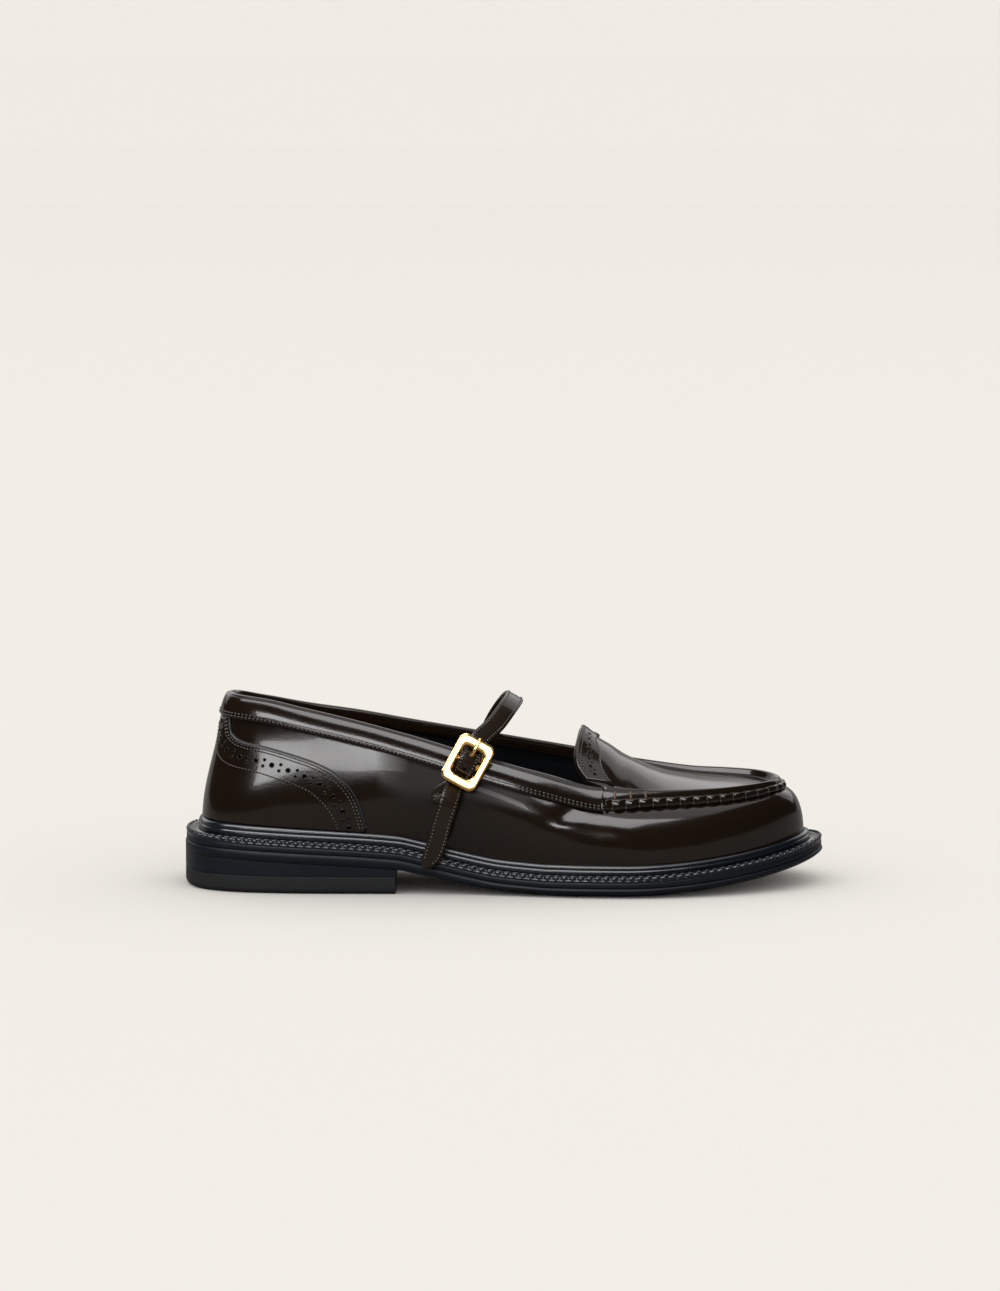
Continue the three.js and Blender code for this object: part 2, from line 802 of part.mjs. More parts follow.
// Strip across the tongue's free edge, which covers its seam with the apron
function tongueStripGeometry() {
  const columns = 20;
  const reach = 0.9;
  const steps = 5;
  const pointAt = (row, column) => {
    const across = reach * ((2 * column) / columns - 1);
    const free = tonguePoint(across, 1);
    const root = tonguePoint(across, 0);
    const length = free.distanceTo(root);
    const along = 1 - (row / steps) * (stripWidth / Math.max(length, 1));
    if (along >= 0) {
      return tonguePoint(across, along);
    }
    const x = throatPlace - along * length;
    const turn = turnAt((x - toplineBack) / toplineSpan);
    return apronPoint(turn, across);
  };
  return overlay(steps + 1, columns + 1, pointAt, stripThickness);
}

// Solids that are cut or joined
function toManifold(geometry) {
  const plain = geometry.clone();
  plain.deleteAttribute("normal");
  plain.deleteAttribute("uv");
  const merged = mergeVertices(plain, 1e-4);
  const vertProperties = new Float32Array(merged.getAttribute("position").array);
  const triVerts = new Uint32Array(merged.index.array);
  return new wasm.Manifold(new wasm.Mesh({ numProp: 3, vertProperties, triVerts }));
}

function cut(geometry, cutter) {
  return fromManifold(toManifold(geometry).subtract(toManifold(cutter)));
}

function join(geometry, other) {
  return fromManifold(toManifold(geometry).add(toManifold(other)));
}

function fromManifold(solid) {
  const mesh = solid.getMesh();
  const result = new THREE.BufferGeometry();
  result.setAttribute("position", new THREE.BufferAttribute(mesh.vertProperties, 3));
  result.setIndex(Array.from(mesh.triVerts));
  result.computeVertexNormals();
  return result;
}

// Buckle's own axes: x across the strap, y up along it, z out of the shoe
function buckleFrameAxes() {
  const lean = THREE.MathUtils.degToRad(buckleLean);
  const tilt = THREE.MathUtils.degToRad(buckleTilt);
  const across = new THREE.Vector3(Math.cos(lean), 0, -Math.sin(lean));
  const up = new THREE.Vector3(
    Math.sin(lean) * Math.cos(tilt), Math.sin(tilt), Math.cos(lean) * Math.cos(tilt));
  const out = new THREE.Vector3().crossVectors(across, up);
  const turn = turnAt((bucklePlace - toplineBack) / toplineSpan);
  const seat = edgePoint(-1, turn).y - buckleStandOff;
  const middle = new THREE.Vector3(bucklePlace, seat, buckleHeight);
  return new THREE.Matrix4().makeBasis(across, up, out).setPosition(middle);
}

const buckleAxes = buckleFrameAxes();

function onBuckle(across, up, out) {
  return new THREE.Vector3(across, up, out).applyMatrix4(buckleAxes);
}

function boxOnBuckle(low, high) {
  const size = new THREE.Vector3().subVectors(high, low);
  const box = new THREE.BoxGeometry(size.x, size.y, size.z);
  box.translate((low.x + high.x) / 2, (low.y + high.y) / 2, (low.z + high.z) / 2);
  return box.applyMatrix4(buckleAxes);
}

// Flat strip of leather along a smooth path
function ribbon(points, thickness, steps, widthAt) {
  const path = new THREE.CatmullRomCurve3(points, false, "centripetal");
  const across = new THREE.Vector3().setFromMatrixColumn(buckleAxes, 0);
  const outer = [];
  const inner = [];
  for (let i = 0; i <= steps; i += 1) {
    const share = i / steps;
    const middle = path.getPointAt(share);
    const along = path.getTangentAt(share);
    const side = across.clone().addScaledVector(along, -across.dot(along)).normalize();
    const out = new THREE.Vector3().crossVectors(side, along).normalize();
    for (const edge of [-0.5, 0.5]) {
      const point = middle.clone().addScaledVector(side, edge * widthAt(share, path.getLength()));
      outer.push(point.clone().addScaledVector(out, thickness / 2));
      inner.push(point.clone().addScaledVector(out, -thickness / 2));
    }
  }
  return shell(outer, inner, gridFaces(steps + 1, 2));
}

// Where the strap lies against the inner side of the upper
function strapSeat(x, below, away) {
  const turn = turnAt((x - toplineBack) / toplineSpan);
  const point = wallAtHeight(1, turn, topPoint(1, turn).z - below);
  return moved(point, outward(1, turn), away, 0);
}

// Free stretch of the strap over the instep, from the inner to the outer side
const strapRows = [
  { along: 0.472, across: 0.288, height: 0.79 },
  { along: 0.485, across: 0.25, height: 0.868 },
  { along: 0.503, across: 0.16, height: 0.943 },
  { along: 0.516, across: 0, height: 0.974 },
  { along: 0.504, across: -0.15, height: 0.938 },
  { along: 0.486, across: -0.24, height: 0.872 },
];

// Hanging tail of the strap; away is how far it hangs out of the sole's outline
const tailRows = [
  { along: 0.415, away: 3.4, height: 0.5 },
  { along: 0.405, away: 4, height: 0.4 },
  { along: 0.396, away: 3.2, height: 0.283 },
  { along: 0.386, away: 2.4, height: 0.2 },
  { along: 0.374, away: 2, height: 0.15 },
];

// The strap runs behind the buckle's end bars and over its centre bar
const strapBehind = -(buckleThickness / 2 + 2 * gap + strapThickness / 2);
const strapOver = centreBarDepth / 2 - centreBarSetback + 3 * gap + tabThickness + strapThickness / 2;

function strapPath() {
  const onBand = bandThickness + 4 * gap + strapThickness / 2;
  const barInside = buckleLength / 2 - buckleEndBar - gap;
  const barOutside = buckleLength / 2 + gap;
  return [
    strapSeat(soleLength * 0.45, toplineHeight * 0.19, 2 * gap + strapThickness / 2),
    strapSeat(soleLength * 0.456, toplineHeight * 0.13, onBand),
    strapSeat(soleLength * 0.464, toplineHeight * 0.03, onBand + 2 * gap),
    ...strapRows.map(({ along, across, height }) => {
      return new THREE.Vector3(along * soleLength, across * ballWidth, height * toplineHeight);
    }),
    onBuckle(0, barOutside, strapBehind),
    onBuckle(0, barInside, strapBehind),
    onBuckle(0, barInside / 2, (strapBehind + strapOver) / 2 + 2 * gap),
    onBuckle(0, 0, strapOver + gap),
    onBuckle(0, -barInside / 2, (strapBehind + strapOver) / 2 + 2 * gap),
    onBuckle(0, -barInside, strapBehind),
    onBuckle(0, -barOutside, strapBehind),
    ...tailRows.map(({ along, away, height }) => {
      const edge = outlinePoint(-1, turnAt(along));
      return new THREE.Vector3(edge.x, edge.y - away, height * toplineHeight);
    }),
  ];
}

function strapGeometry() {
  const steps = 56;
  const strap = ribbon(strapPath(), strapThickness, steps, (share, length) => {
    const left = (1 - share) * length;
    return strapWidth * Math.min(1, 0.12 + (0.88 * left) / strapTipLength);
  });
  const half = prongWidth / 2 + gap * 1.5;
  const holeEnd = buckleLength / 2 - buckleEndBar - gap;
  const holeStart = -centreBarWidth / 2 - prongDepth - 3 * gap;
  const reach = 2 * buckleThickness;
  const low = new THREE.Vector3(-half, holeStart, -reach);
  const hole = boxOnBuckle(low, new THREE.Vector3(half, holeEnd, reach));
  return cut(strap, hole);
}

function roundedRectangle(target, width, height, radius) {
  const x = width / 2;
  const y = height / 2;
  target.moveTo(-x + radius, -y);
  target.lineTo(x - radius, -y);
  target.absarc(x - radius, -y + radius, radius, -Math.PI / 2, 0, false);
  target.lineTo(x, y - radius);
  target.absarc(x - radius, y - radius, radius, 0, Math.PI / 2, false);
  target.lineTo(-x + radius, y);
  target.absarc(-x + radius, y - radius, radius, Math.PI / 2, Math.PI, false);
  target.lineTo(-x, -y + radius);
  target.absarc(-x + radius, -y + radius, radius, Math.PI, Math.PI * 1.5, false);
  return target;
}

function buckleFrameGeometry() {
  const shape = roundedRectangle(new THREE.Shape(), buckleWidth, buckleLength, buckleCorner);
  const holeWidth = buckleWidth - 2 * buckleSideBar;
  const holeLength = buckleLength - 2 * buckleEndBar;
  shape.holes.push(roundedRectangle(new THREE.Path(), holeWidth, holeLength, 0.8));
  const settings = { depth: buckleThickness, bevelEnabled: false, curveSegments: 5 };
  const geometry = new THREE.ExtrudeGeometry(shape, settings);
  const ring = geometry.translate(0, 0, -buckleThickness / 2).applyMatrix4(buckleAxes);
  const reach = holeWidth / 2 + buckleSideBar / 2;
  const back = -centreBarSetback - centreBarDepth / 2;
  const bar = boxOnBuckle(
    new THREE.Vector3(-reach, -centreBarWidth / 2, Math.max(back, -buckleThickness / 2 + 0.1)),
    new THREE.Vector3(reach, centreBarWidth / 2, back + centreBarDepth));
  return join(ring, bar);
}

// The prong is drawn from the side, with a ring round the centre bar
function prongGeometry() {
  const barBack = Math.max(-centreBarSetback - centreBarDepth / 2, -buckleThickness / 2 + 0.1);
  const barFront = -centreBarSetback + centreBarDepth / 2;
  const holeLength = centreBarWidth + 2 * gap;
  const holeHeight = barFront - barBack + 2 * gap;
  const middle = (barBack + barFront) / 2;
  const x = holeLength / 2 + prongDepth;
  const y = holeHeight / 2 + prongDepth;
  const rest = buckleThickness / 2 + gap - middle;
  const tip = buckleLength / 2 + 2 * gap;
  const barInside = buckleLength / 2 - buckleEndBar - 2 * gap;
  const shape = new THREE.Shape();
  shape.moveTo(-x, -y + gap);
  shape.lineTo(-x + gap, -y);
  shape.lineTo(x - gap, -y);
  shape.lineTo(x, -y + gap);
  shape.lineTo(x, y - prongDepth);
  shape.lineTo(barInside, rest);
  shape.lineTo(tip, rest);
  shape.lineTo(tip, rest + prongDepth / 2);
  shape.lineTo(tip - prongDepth, rest + prongDepth);
  shape.lineTo(barInside, rest + prongDepth);
  shape.lineTo(x - prongDepth, y);
  shape.lineTo(-x + gap, y);
  shape.lineTo(-x, y - gap);
  shape.closePath();
  const hole = new THREE.Path();
  roundedRectangle(hole, holeLength, holeHeight, gap / 2);
  shape.holes.push(hole);
  const settings = { depth: prongWidth, bevelEnabled: false, curveSegments: 2 };
  const geometry = new THREE.ExtrudeGeometry(shape, settings);
  const sideView = new THREE.Matrix4().makeBasis(
    new THREE.Vector3(0, 1, 0), new THREE.Vector3(0, 0, 1), new THREE.Vector3(1, 0, 0));
  geometry.translate(0, 0, -prongWidth / 2).applyMatrix4(sideView);
  return geometry.translate(0, 0, middle).applyMatrix4(buckleAxes);
}

// Short tab sewn to the upper and folded round the buckle's centre bar
function tabGeometry() {
  const back = -centreBarSetback - centreBarDepth / 2 - gap - tabThickness / 2;
  const front = -centreBarSetback + centreBarDepth / 2 + gap + tabThickness / 2;
  const fold = centreBarWidth / 2 + 2 * gap + tabThickness / 2;
  const join = -fold - 2 * tabThickness;
  const tackPlace = bucklePlace - tabLength;
  const tackTurn = turnAt((tackPlace - toplineBack) / toplineSpan);
  const tack = wallAtHeight(-1, tackTurn, buckleHeight - tabLength * tabDrop);
  const seated = moved(tack, outward(-1, tackTurn), 3 * gap + tabThickness / 2, 0);
  const behindStrap = strapBehind - strapThickness / 2 - 2 * gap - tabThickness / 2;
  const under = onBuckle(0, -buckleLength / 2, behindStrap - gap);
  const points = [
    seated,
    seated.clone().lerp(under, 0.5).add(new THREE.Vector3(0, -2 * gap, 0)),
    under,
    onBuckle(0, buckleEndBar - buckleLength / 2, behindStrap),
    onBuckle(0, join - tabThickness, back - 2 * gap),
    onBuckle(0, 0, back),
    onBuckle(0, fold - gap, back),
    onBuckle(0, fold + gap, (back + front) / 2),
    onBuckle(0, fold - gap, front),
    onBuckle(0, 0, front),
    onBuckle(0, -fold, front - 2 * gap),
    onBuckle(0, join, back + tabThickness),
  ];
  const tab = ribbon(points, tabThickness, 44, () => tabWidth);
  const half = prongWidth / 2 + gap;
  const reach = 2 * buckleThickness;
  const slotEnd = fold + prongDepth + 3 * gap;
  const low = new THREE.Vector3(-half, -fold - prongDepth - gap, -reach);
  return cut(tab, boxOnBuckle(low, new THREE.Vector3(half, slotEnd, reach)));
}

// Materials
const upperLeather = { color: 0x24180f, roughness: 0.25, metalness: 0 };
const strapLeather = { color: 0x1c130c, roughness: 0.25, metalness: 0 };
const soleLeather = { color: 0x1e2124, roughness: 0.45, metalness: 0 };
const heelRubber = { color: 0x2b2b2b, roughness: 0.6, metalness: 0 };
const liningLeather = { color: 0x141414, roughness: 0.6, metalness: 0 };
const polishedBrass = { color: 0xd8b365, roughness: 0.15, metalness: 1 };

function piece(name, geometry, look) {
  const mesh = new THREE.Mesh(geometry, new THREE.MeshStandardMaterial(look));
  mesh.name = name;
  return mesh;
}

// The origin is under the middle of the heel
const shoe = new THREE.Group();
shoe.position.x = -heelLength / 2;
shoe.add(piece("heel_top_lift", topLiftGeometry(), heelRubber));
shoe.add(piece("heel_stack", heelStackGeometry(), soleLeather));
shoe.add(piece("outsole", outsoleGeometry(), soleLeather));
shoe.add(piece("midsole", midsoleGeometry(), soleLeather));
shoe.add(piece("welt", weltGeometry(), soleLeather));
shoe.add(piece("rand", randGeometry(), soleLeather));
shoe.add(piece("insole", insoleGeometry(), liningLeather));
shoe.add(piece("upper", upperGeometry(), upperLeather));
shoe.add(piece("tongue", tongueGeometry(), upperLeather));
shoe.add(piece("moc_seam", seamGeometry(), upperLeather));
shoe.add(piece("collar_band", collarBandGeometry(), upperLeather));
shoe.add(piece("counter", counterGeometry(), upperLeather));
shoe.add(piece("tongue_strip", tongueStripGeometry(), upperLeather));
shoe.add(piece("strap", strapGeometry(), strapLeather));
shoe.add(piece("buckle_tab", tabGeometry(), strapLeather));
shoe.add(piece("buckle_frame", buckleFrameGeometry(), polishedBrass));
shoe.add(piece("buckle_prong", prongGeometry(), polishedBrass));

const group = new THREE.Group();
group.add(shoe);

export default group;
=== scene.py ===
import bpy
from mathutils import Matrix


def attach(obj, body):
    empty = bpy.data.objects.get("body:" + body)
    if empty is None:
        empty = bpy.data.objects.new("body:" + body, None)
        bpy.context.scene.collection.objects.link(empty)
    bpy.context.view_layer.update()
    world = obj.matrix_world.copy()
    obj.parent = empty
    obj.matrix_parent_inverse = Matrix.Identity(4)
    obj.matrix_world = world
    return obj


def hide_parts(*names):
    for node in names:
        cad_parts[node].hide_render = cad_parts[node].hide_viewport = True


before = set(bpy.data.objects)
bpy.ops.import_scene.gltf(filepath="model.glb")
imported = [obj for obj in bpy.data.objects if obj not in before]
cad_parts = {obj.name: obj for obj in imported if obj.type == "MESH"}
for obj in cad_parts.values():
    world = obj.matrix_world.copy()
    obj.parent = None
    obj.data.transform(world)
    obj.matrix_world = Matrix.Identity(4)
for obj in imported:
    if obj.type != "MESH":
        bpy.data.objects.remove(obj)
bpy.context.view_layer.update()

import math

import bpy
import numpy as np
from bpy.props import FloatProperty, FloatVectorProperty, IntProperty, PointerProperty
from mathutils import Vector

bl_info = {
    "name": "Strap loafer shoe",
    "version": (1, 0, 0),
    "blender": (4, 5, 0),
    "location": "View3D > Sidebar > Shoe",
    "description": "Builds the finished leather, sole and buckle of a strap loafer round its CAD frame",
    "category": "Object",
}

# Sizes below are in millimetres in the part's own frame, with x from the sole's back.
SOLE_LENGTH = 268.0
BALL_WIDTH = 98.0
HEEL_LENGTH = 88.6
HEEL_SEAT = 14.8
TOP_LIFT = 7.3
OUTSOLE = 4.1
MIDSOLE = 2.6
WELT = 2.1
INSOLE = 2.4
TOE_SPRING = 11.0
FLAT_START = 150.0
FLAT_END = 182.0
EDGE_RISE = 2.1
EDGE_REACH = 9.0
HEEL_CORNER = 2.4
WELT_SETBACK = 0.5
WELT_MARGIN = 5.4
WELT_UNDERLAP = 4.0
RAND_WIDTH = 2.4
RAND_HEEL = 5.1
RAND_TOE = 3.6
WALL = 2.0
TOPLINE_HEIGHT = 80.0
TOPLINE_BACK = 18.6
APRON_TIP = 250.0
THROAT = 175.0
LIP_DEPTH = 2.5
LIP_WIDTH = 2.2
LIP_RUN_IN = 11.0
BAND = 1.2
COUNTER = 1.1
SEAM = 1.5
SEAM_SHARE = 0.56
STRIP = 1.0
STRIP_WIDTH = 8.5
STRAP_WIDTH = 8.0
STRAP = 1.4
STRAP_TIP = 9.0
BUCKLE_WIDTH = 16.0
BUCKLE_LENGTH = 21.2
BUCKLE = 2.8
CENTRE_BAR = 1.8
CENTRE_DEPTH = 1.0
CENTRE_SETBACK = 1.3
SIDE_BAR = 2.6
END_BAR = 3.7
BUCKLE_CORNER = 3.2
BUCKLE_PLACE = 118.8
BUCKLE_HEIGHT = 55.7
BUCKLE_OUT = 5.4
BUCKLE_LEAN = 29.0
BUCKLE_TILT = 8.0
PRONG_WIDTH = 1.5
PRONG_DEPTH = 0.8
TAB_WIDTH = 7.6
TAB = 0.8
TAB_LENGTH = 13.0
TAB_DROP = 1.28
GAP = 0.3
FAR_SHIFT = 3.0
COUNTER_END = 0.358
TONGUE_FAR_TRIM = 0.42
TONGUE_PEAK = 1.6
EDGE_SHARE = 0.7
FOOT_BEND = 0.38
ROLL_BEND = 0.65
ROLL_LEAN = 0.2
ARCH_OVERHANG = 0.055
ARCH_MIDDLE = 0.42
ARCH_REACH = 0.2

MM = 0.001
WELT_BASE = OUTSOLE + MIDSOLE
WELT_TOP = WELT_BASE + WELT
FOOT_INSET = WELT_MARGIN + RAND_WIDTH + GAP
SOCK_INSET = FOOT_INSET + WALL + 0.6
WELT_INNER = FOOT_INSET + WALL + WELT_UNDERLAP
HEEL_JOINT = GAP * 0.4
COUNTER_FACE = COUNTER + 0.12
STRIP_FACE = STRIP * 0.8 + 0.06
SPAN = APRON_TIP - TOPLINE_BACK

OUTLINE = {
    "along": (0, 0.02, 0.06, 0.12, 0.2, 0.33, 0.45, 0.55, 0.63, 0.7, 0.78, 0.86, 0.93, 0.97, 1),
    "outer": (
        0, 0.2, 0.287, 0.335, 0.356, 0.362, 0.386, 0.438, 0.474, 0.482, 0.455, 0.388, 0.282, 0.18, -0.03,
    ),
    "inner": (0, 0.2, 0.287, 0.332, 0.338, 0.302, 0.3, 0.36, 0.44, 0.488, 0.496, 0.455, 0.36, 0.25, 0.03),
}
ARCH = {
    "along": (0, 0.3, 0.59, 0.66, 0.77, 0.88, 1),
    "height": (1, 0.875, 0.7, 0.56, 0.29, 0.085, 0),
}
TOP = {
    "along": (0, 0.011, 0.063, 0.149, 0.23, 0.331, 0.45, 0.56, 0.678, 0.755, 0.867, 0.948, 0.983, 1),
    "outer": (0, 0.083, 0.15, 0.2, 0.22, 0.253, 0.292, 0.315, 0.318, 0.298, 0.245, 0.168, 0.105, -0.01),
    "inner": (0, 0.083, 0.15, 0.2, 0.217, 0.24, 0.27, 0.295, 0.308, 0.3, 0.265, 0.192, 0.12, 0.01),
    "z_outer": (
        0.995, 0.99, 0.976, 0.927, 0.874, 0.8, 0.702, 0.618, 0.538, 0.531, 0.534, 0.544, 0.551, 0.548,
    ),
    "z_inner": (
        0.995, 0.985, 0.95, 0.898, 0.862, 0.806, 0.742, 0.684, 0.624, 0.592, 0.562, 0.562, 0.558, 0.548,
    ),
    "edge_out": (
        0.026, 0.026, 0.026, 0.028, 0.028, 0.03, 0.032, 0.034, 0.032, 0.022, 0.017, 0.014, 0.013, 0.012,
    ),
    "edge_drop": (
        0.105, 0.105, 0.105, 0.105, 0.106, 0.107, 0.107, 0.107, 0.105, 0.084, 0.078, 0.069, 0.058, 0.052,
    ),
    "low_swell": (
        0.006, 0.008, 0.02, 0.034, 0.037, 0.038, 0.035, 0.03, 0.028, 0.026, 0.022, 0.014, 0.01, 0.008,
    ),
    "high_swell": (
        0.018, 0.018, 0.022, 0.032, 0.034, 0.038, 0.042, 0.047, 0.058, 0.076, 0.087, 0.085, 0.078, 0.074,
    ),
    "drop": (0.35, 0.35, 0.35, 0.35, 0.35, 0.33, 0.31, 0.28, 0.24, 0.18, 0.1, 0.05, 0.03, 0.02),
}
APRON = {
    "along": (0, 0.04, 0.128, 0.213, 0.3, 0.405, 0.672, 0.876, 1),
    "height": (0.738, 0.717, 0.66, 0.62, 0.584, 0.556, 0.528, 0.522, 0.517),
}
TONGUE_EDGE = {
    "across": (0, 0.3, 0.6, 0.75, 0.87, 0.95, 1),
    "reach": (0.031, 0.036, 0.042, 0.039, 0.028, 0.014, 0.006),
    "rise": (0.062, 0.061, 0.05, 0.037, 0.016, 0.004, 0),
}
COUNTER_EDGE = {
    "turn": (0, 0.07, 0.09, 0.129, 0.1855, 0.2553, 0.291, 0.316, 0.3356, 0.3483, 0.358),
    "height": (0.9, 0.9, 0.81, 0.768, 0.745, 0.69, 0.64, 0.577, 0.502, 0.424, 0.335),
}
STRAP_ROWS = (
    (0.472, 0.288, 0.79), (0.485, 0.25, 0.868), (0.503, 0.16, 0.943),
    (0.516, 0, 0.974), (0.504, -0.15, 0.938), (0.486, -0.24, 0.872),
)
TAIL_ROWS = (
    (0.415, 3.4, 0.5), (0.405, 4, 0.4), (0.396, 3.2, 0.283), (0.386, 2.4, 0.2), (0.374, 2, 0.15),
)
# The collar skin's height over the wall at shares of its way up, in thicknesses of the band
COLLAR_RISES = (0, 0.004, 0.016, 0.035, 0.08, 0.2, 0.35, 0.5, 0.65, 0.8, 0.9, 1)
COLLAR_SKIN = (0.02, 0.7, 1.05, 1.18, 1.17, 1.1, 1.04, 0.99, 0.95, 0.92, 0.9, 0.88)
# The welt's wheeled edge: inset and height, then how far the marks cut in and down
WELT_EDGE = (
    (-0.1, -1.75, 0, 0), (0.1, -1.35, 0, 0), (0.05, -1.15, 0.25, 0), (-0.25, -0.85, 0.55, 0),
    (-0.3, -0.45, 0.75, 0.1), (-0.1, -0.08, 0.7, 0.3), (0.35, 0.1, 0.4, 0.42), (0.85, 0.08, 0.1, 0.35),
    (1.25, -0.1, 0, 0), (1.5, 0, 0, 0), (2.2, 0.02, 0, 0), (2.6, -0.22, 0, 0), (3.0, 0.02, 0, 0),
)
# The rand's double roll: share of its height and of its width
RAND_ROLL = (
    (0.0, 0.95), (0.1, 1.02), (0.25, 1.06), (0.38, 1.0), (0.46, 0.82), (0.5, 0.76), (0.54, 0.8),
    (0.62, 0.9), (0.76, 0.84), (0.9, 0.6), (0.98, 0.34), (1.0, 0.12), (0.96, -0.06), (0.5, -0.05), (0.0, 0.0),
)
# Edges of the sole's layers: inset, height over the underside and share of the edge's rise
MIDSOLE_EDGE = (
    (1, 0), (0.1, 0.05), (-0.1, 0.5), (-0.1, MIDSOLE - 0.6), (0.15, MIDSOLE - 0.15), (1, MIDSOLE - 0.05),
)
OUTSOLE_EDGE = (
    (EDGE_REACH * 2.2, 0, 0), (EDGE_REACH, 0, 0), (EDGE_REACH * 0.7, 0, 0.1), (EDGE_REACH * 0.45, 0, 0.3),
    (EDGE_REACH * 0.22, 0, 0.65), (EDGE_REACH * 0.08, 0, 1), (EDGE_REACH * 0.02, 0, 1.2), (-0.02, 0.1, 1.35),
    (0, OUTSOLE - 0.75, 0), (0.25, OUTSOLE - 0.3, 0), (1.2, OUTSOLE - 0.15, 0),
)
# The buckle frame's outer steps and inner bevel: inset and level from its middle
BUCKLE_OUTER = (
    (0.2, -BUCKLE / 2), (0.0, -BUCKLE / 2 + 0.2), (0.0, 0.0), (0.12, 0.15), (0.4, 0.2),
    (0.42, BUCKLE / 2 - 0.4), (0.5, BUCKLE / 2 - 0.16), (0.62, BUCKLE / 2 - 0.03), (0.75, BUCKLE / 2),
)
BUCKLE_INNER = (
    (-0.1, BUCKLE / 2), (0.06, BUCKLE / 2 - 0.05), (0.85, BUCKLE / 2 - 0.85), (1.12, BUCKLE / 2 - 1.3),
    (1.0, -BUCKLE / 2 + 0.5), (0.0, -BUCKLE / 2),
)
# Wrap stitches at the rear end of the apron seam, as places along the shoe
WRAP_PLACES = (179.9, 186.4, 192.6)
# Creases of the worn-in last shape: x, height, half length, half width, lean and depth
CREASES = (
    (160, 34.0, 8, 4.4, 0.3, 0.42),
    (192, 36.0, 12, 3.6, 0.0, 0.3),
)

# The stage, in metres and degrees
SHOE_MIDDLE = Vector((0.09, 0, 0.045))
LIGHT_DISTANCE = 1.6
AIR_LIGHT = 1.035
AIR_REFLECTED = 0.03
# Share of the floor's colour seen in the leather's reflections: painted shade that dims the reflected floor
FLOOR_REFLECTION_SHADE = 0.34
RUBBED_ROUGHNESS = 0.5
CAMERA_ELEVATION = 7.25
CAMERA_TARGET = Vector(((132.2 - HEEL_LENGTH / 2) * MM, 0, 99.8 * MM))
CAMERA_DISTANCE = 2.5
CAMERA_LENS = 166.3


class Table:
    """Smooth reading of a table's column between its rows, without overshoot."""

    def __init__(self, places, values):
        self.x = np.asarray(places, float)
        self.y = np.asarray(values, float)
        slope = np.diff(self.y) / np.diff(self.x)
        before, after = slope[:-1], slope[1:]
        same = before * after > 0
        total = np.where(same, before + after, 1)
        inner = np.where(same, 2 * before * after / total, 0)
        self.m = np.concatenate([slope[:1], inner, slope[-1:]])

    def __call__(self, place):
        place = np.asarray(place, float)
        i = np.clip(np.searchsorted(self.x, place, side="left") - 1, 0, len(self.x) - 2)
        width = self.x[i + 1] - self.x[i]
        t = np.clip((place - self.x[i]) / width, 0, 1)
        t2, t3 = t * t, t * t * t
        return (
            (2 * t3 - 3 * t2 + 1) * self.y[i] + (t3 - 2 * t2 + t) * width * self.m[i]
            + (3 * t2 - 2 * t3) * self.y[i + 1] + (t3 - t2) * width * self.m[i + 1]
        )


def turn_at(along):
    return np.arccos(np.clip(1 - 2 * np.asarray(along, float), -1, 1)) / np.pi


def along_at(turn):
    return (1 - np.cos(np.pi * np.asarray(turn, float))) / 2


def by_turn(rows):
    turns = turn_at(rows["along"])
    return {name: Table(turns, values) for name, values in rows.items() if name != "along"}


outline = by_turn(OUTLINE)
top_line = by_turn(TOP)
arch = Table(ARCH["along"], ARCH["height"])
apron = Table(APRON["along"], APRON["height"])
tongue_reach = Table(TONGUE_EDGE["across"], TONGUE_EDGE["reach"])
tongue_rise = Table(TONGUE_EDGE["across"], TONGUE_EDGE["rise"])
counter_edge = Table(COUNTER_EDGE["turn"], COUNTER_EDGE["height"])

THROAT_TURN = float(turn_at((THROAT - TOPLINE_BACK) / SPAN))
BREAST_TURN = float(turn_at(HEEL_LENGTH / SOLE_LENGTH))


def smoothstep(x, low, high):
    t = np.clip((np.asarray(x, float) - low) / (high - low), 0, 1)
    return t * t * (3 - 2 * t)


def mix(a, b, t):
    return a + (b - a) * t


def stack(x, y, z):
    return np.stack(np.broadcast_arrays(x, y, z), axis=-1).astype(float)


def unit(v):
    return v / np.maximum(np.linalg.norm(v, axis=-1, keepdims=True), 1e-9)


def spread(*values):
    """The values as arrays of one shape."""
    return np.broadcast_arrays(*(np.asarray(value, float) for value in values))


# side is -1 on the outer side and 1 on the inner side
def outline_point(side, turn):
    side, turn = spread(side, turn)
    width = np.where(side < 0, outline["outer"](turn), outline["inner"](turn)) * BALL_WIDTH
    return np.stack([along_at(turn) * SOLE_LENGTH, side * width], axis=-1)


def outward(side, turn):
    side, turn = spread(side, turn)
    step = 0.01
    low = turn < step
    high = turn > 1 - step
    before = outline_point(np.where(low, -side, side), np.where(low, step - turn, turn - step))
    after = outline_point(np.where(high, -side, side), np.where(high, 2 - turn - step, turn + step))
    along = unit(after - before)
    return np.stack([-side * along[..., 1], side * along[..., 0]], axis=-1)


def inset_point(side, turn, inset):
    return outline_point(side, turn) - outward(side, turn) * np.asarray(inset)[..., None]


def underside(x):
    x = np.asarray(x, float)
    heel = HEEL_SEAT * arch(np.clip(x, 0, FLAT_START) / FLAT_START)
    toe = TOE_SPRING * (np.clip(x - FLAT_END, 0, None) / (SOLE_LENGTH - FLAT_END)) ** 1.9
    return np.where(x < FLAT_START, heel, toe)


def rand_height(x):
    return mix(RAND_HEEL, RAND_TOE, np.clip(np.asarray(x) / SOLE_LENGTH, 0, 1))


def low_swell(side, turn):
    away = (turn - ARCH_MIDDLE) / ARCH_REACH
    extra = np.where(side > 0, ARCH_OVERHANG * np.exp(-away * away), 0)
    return top_line["low_swell"](turn) + extra


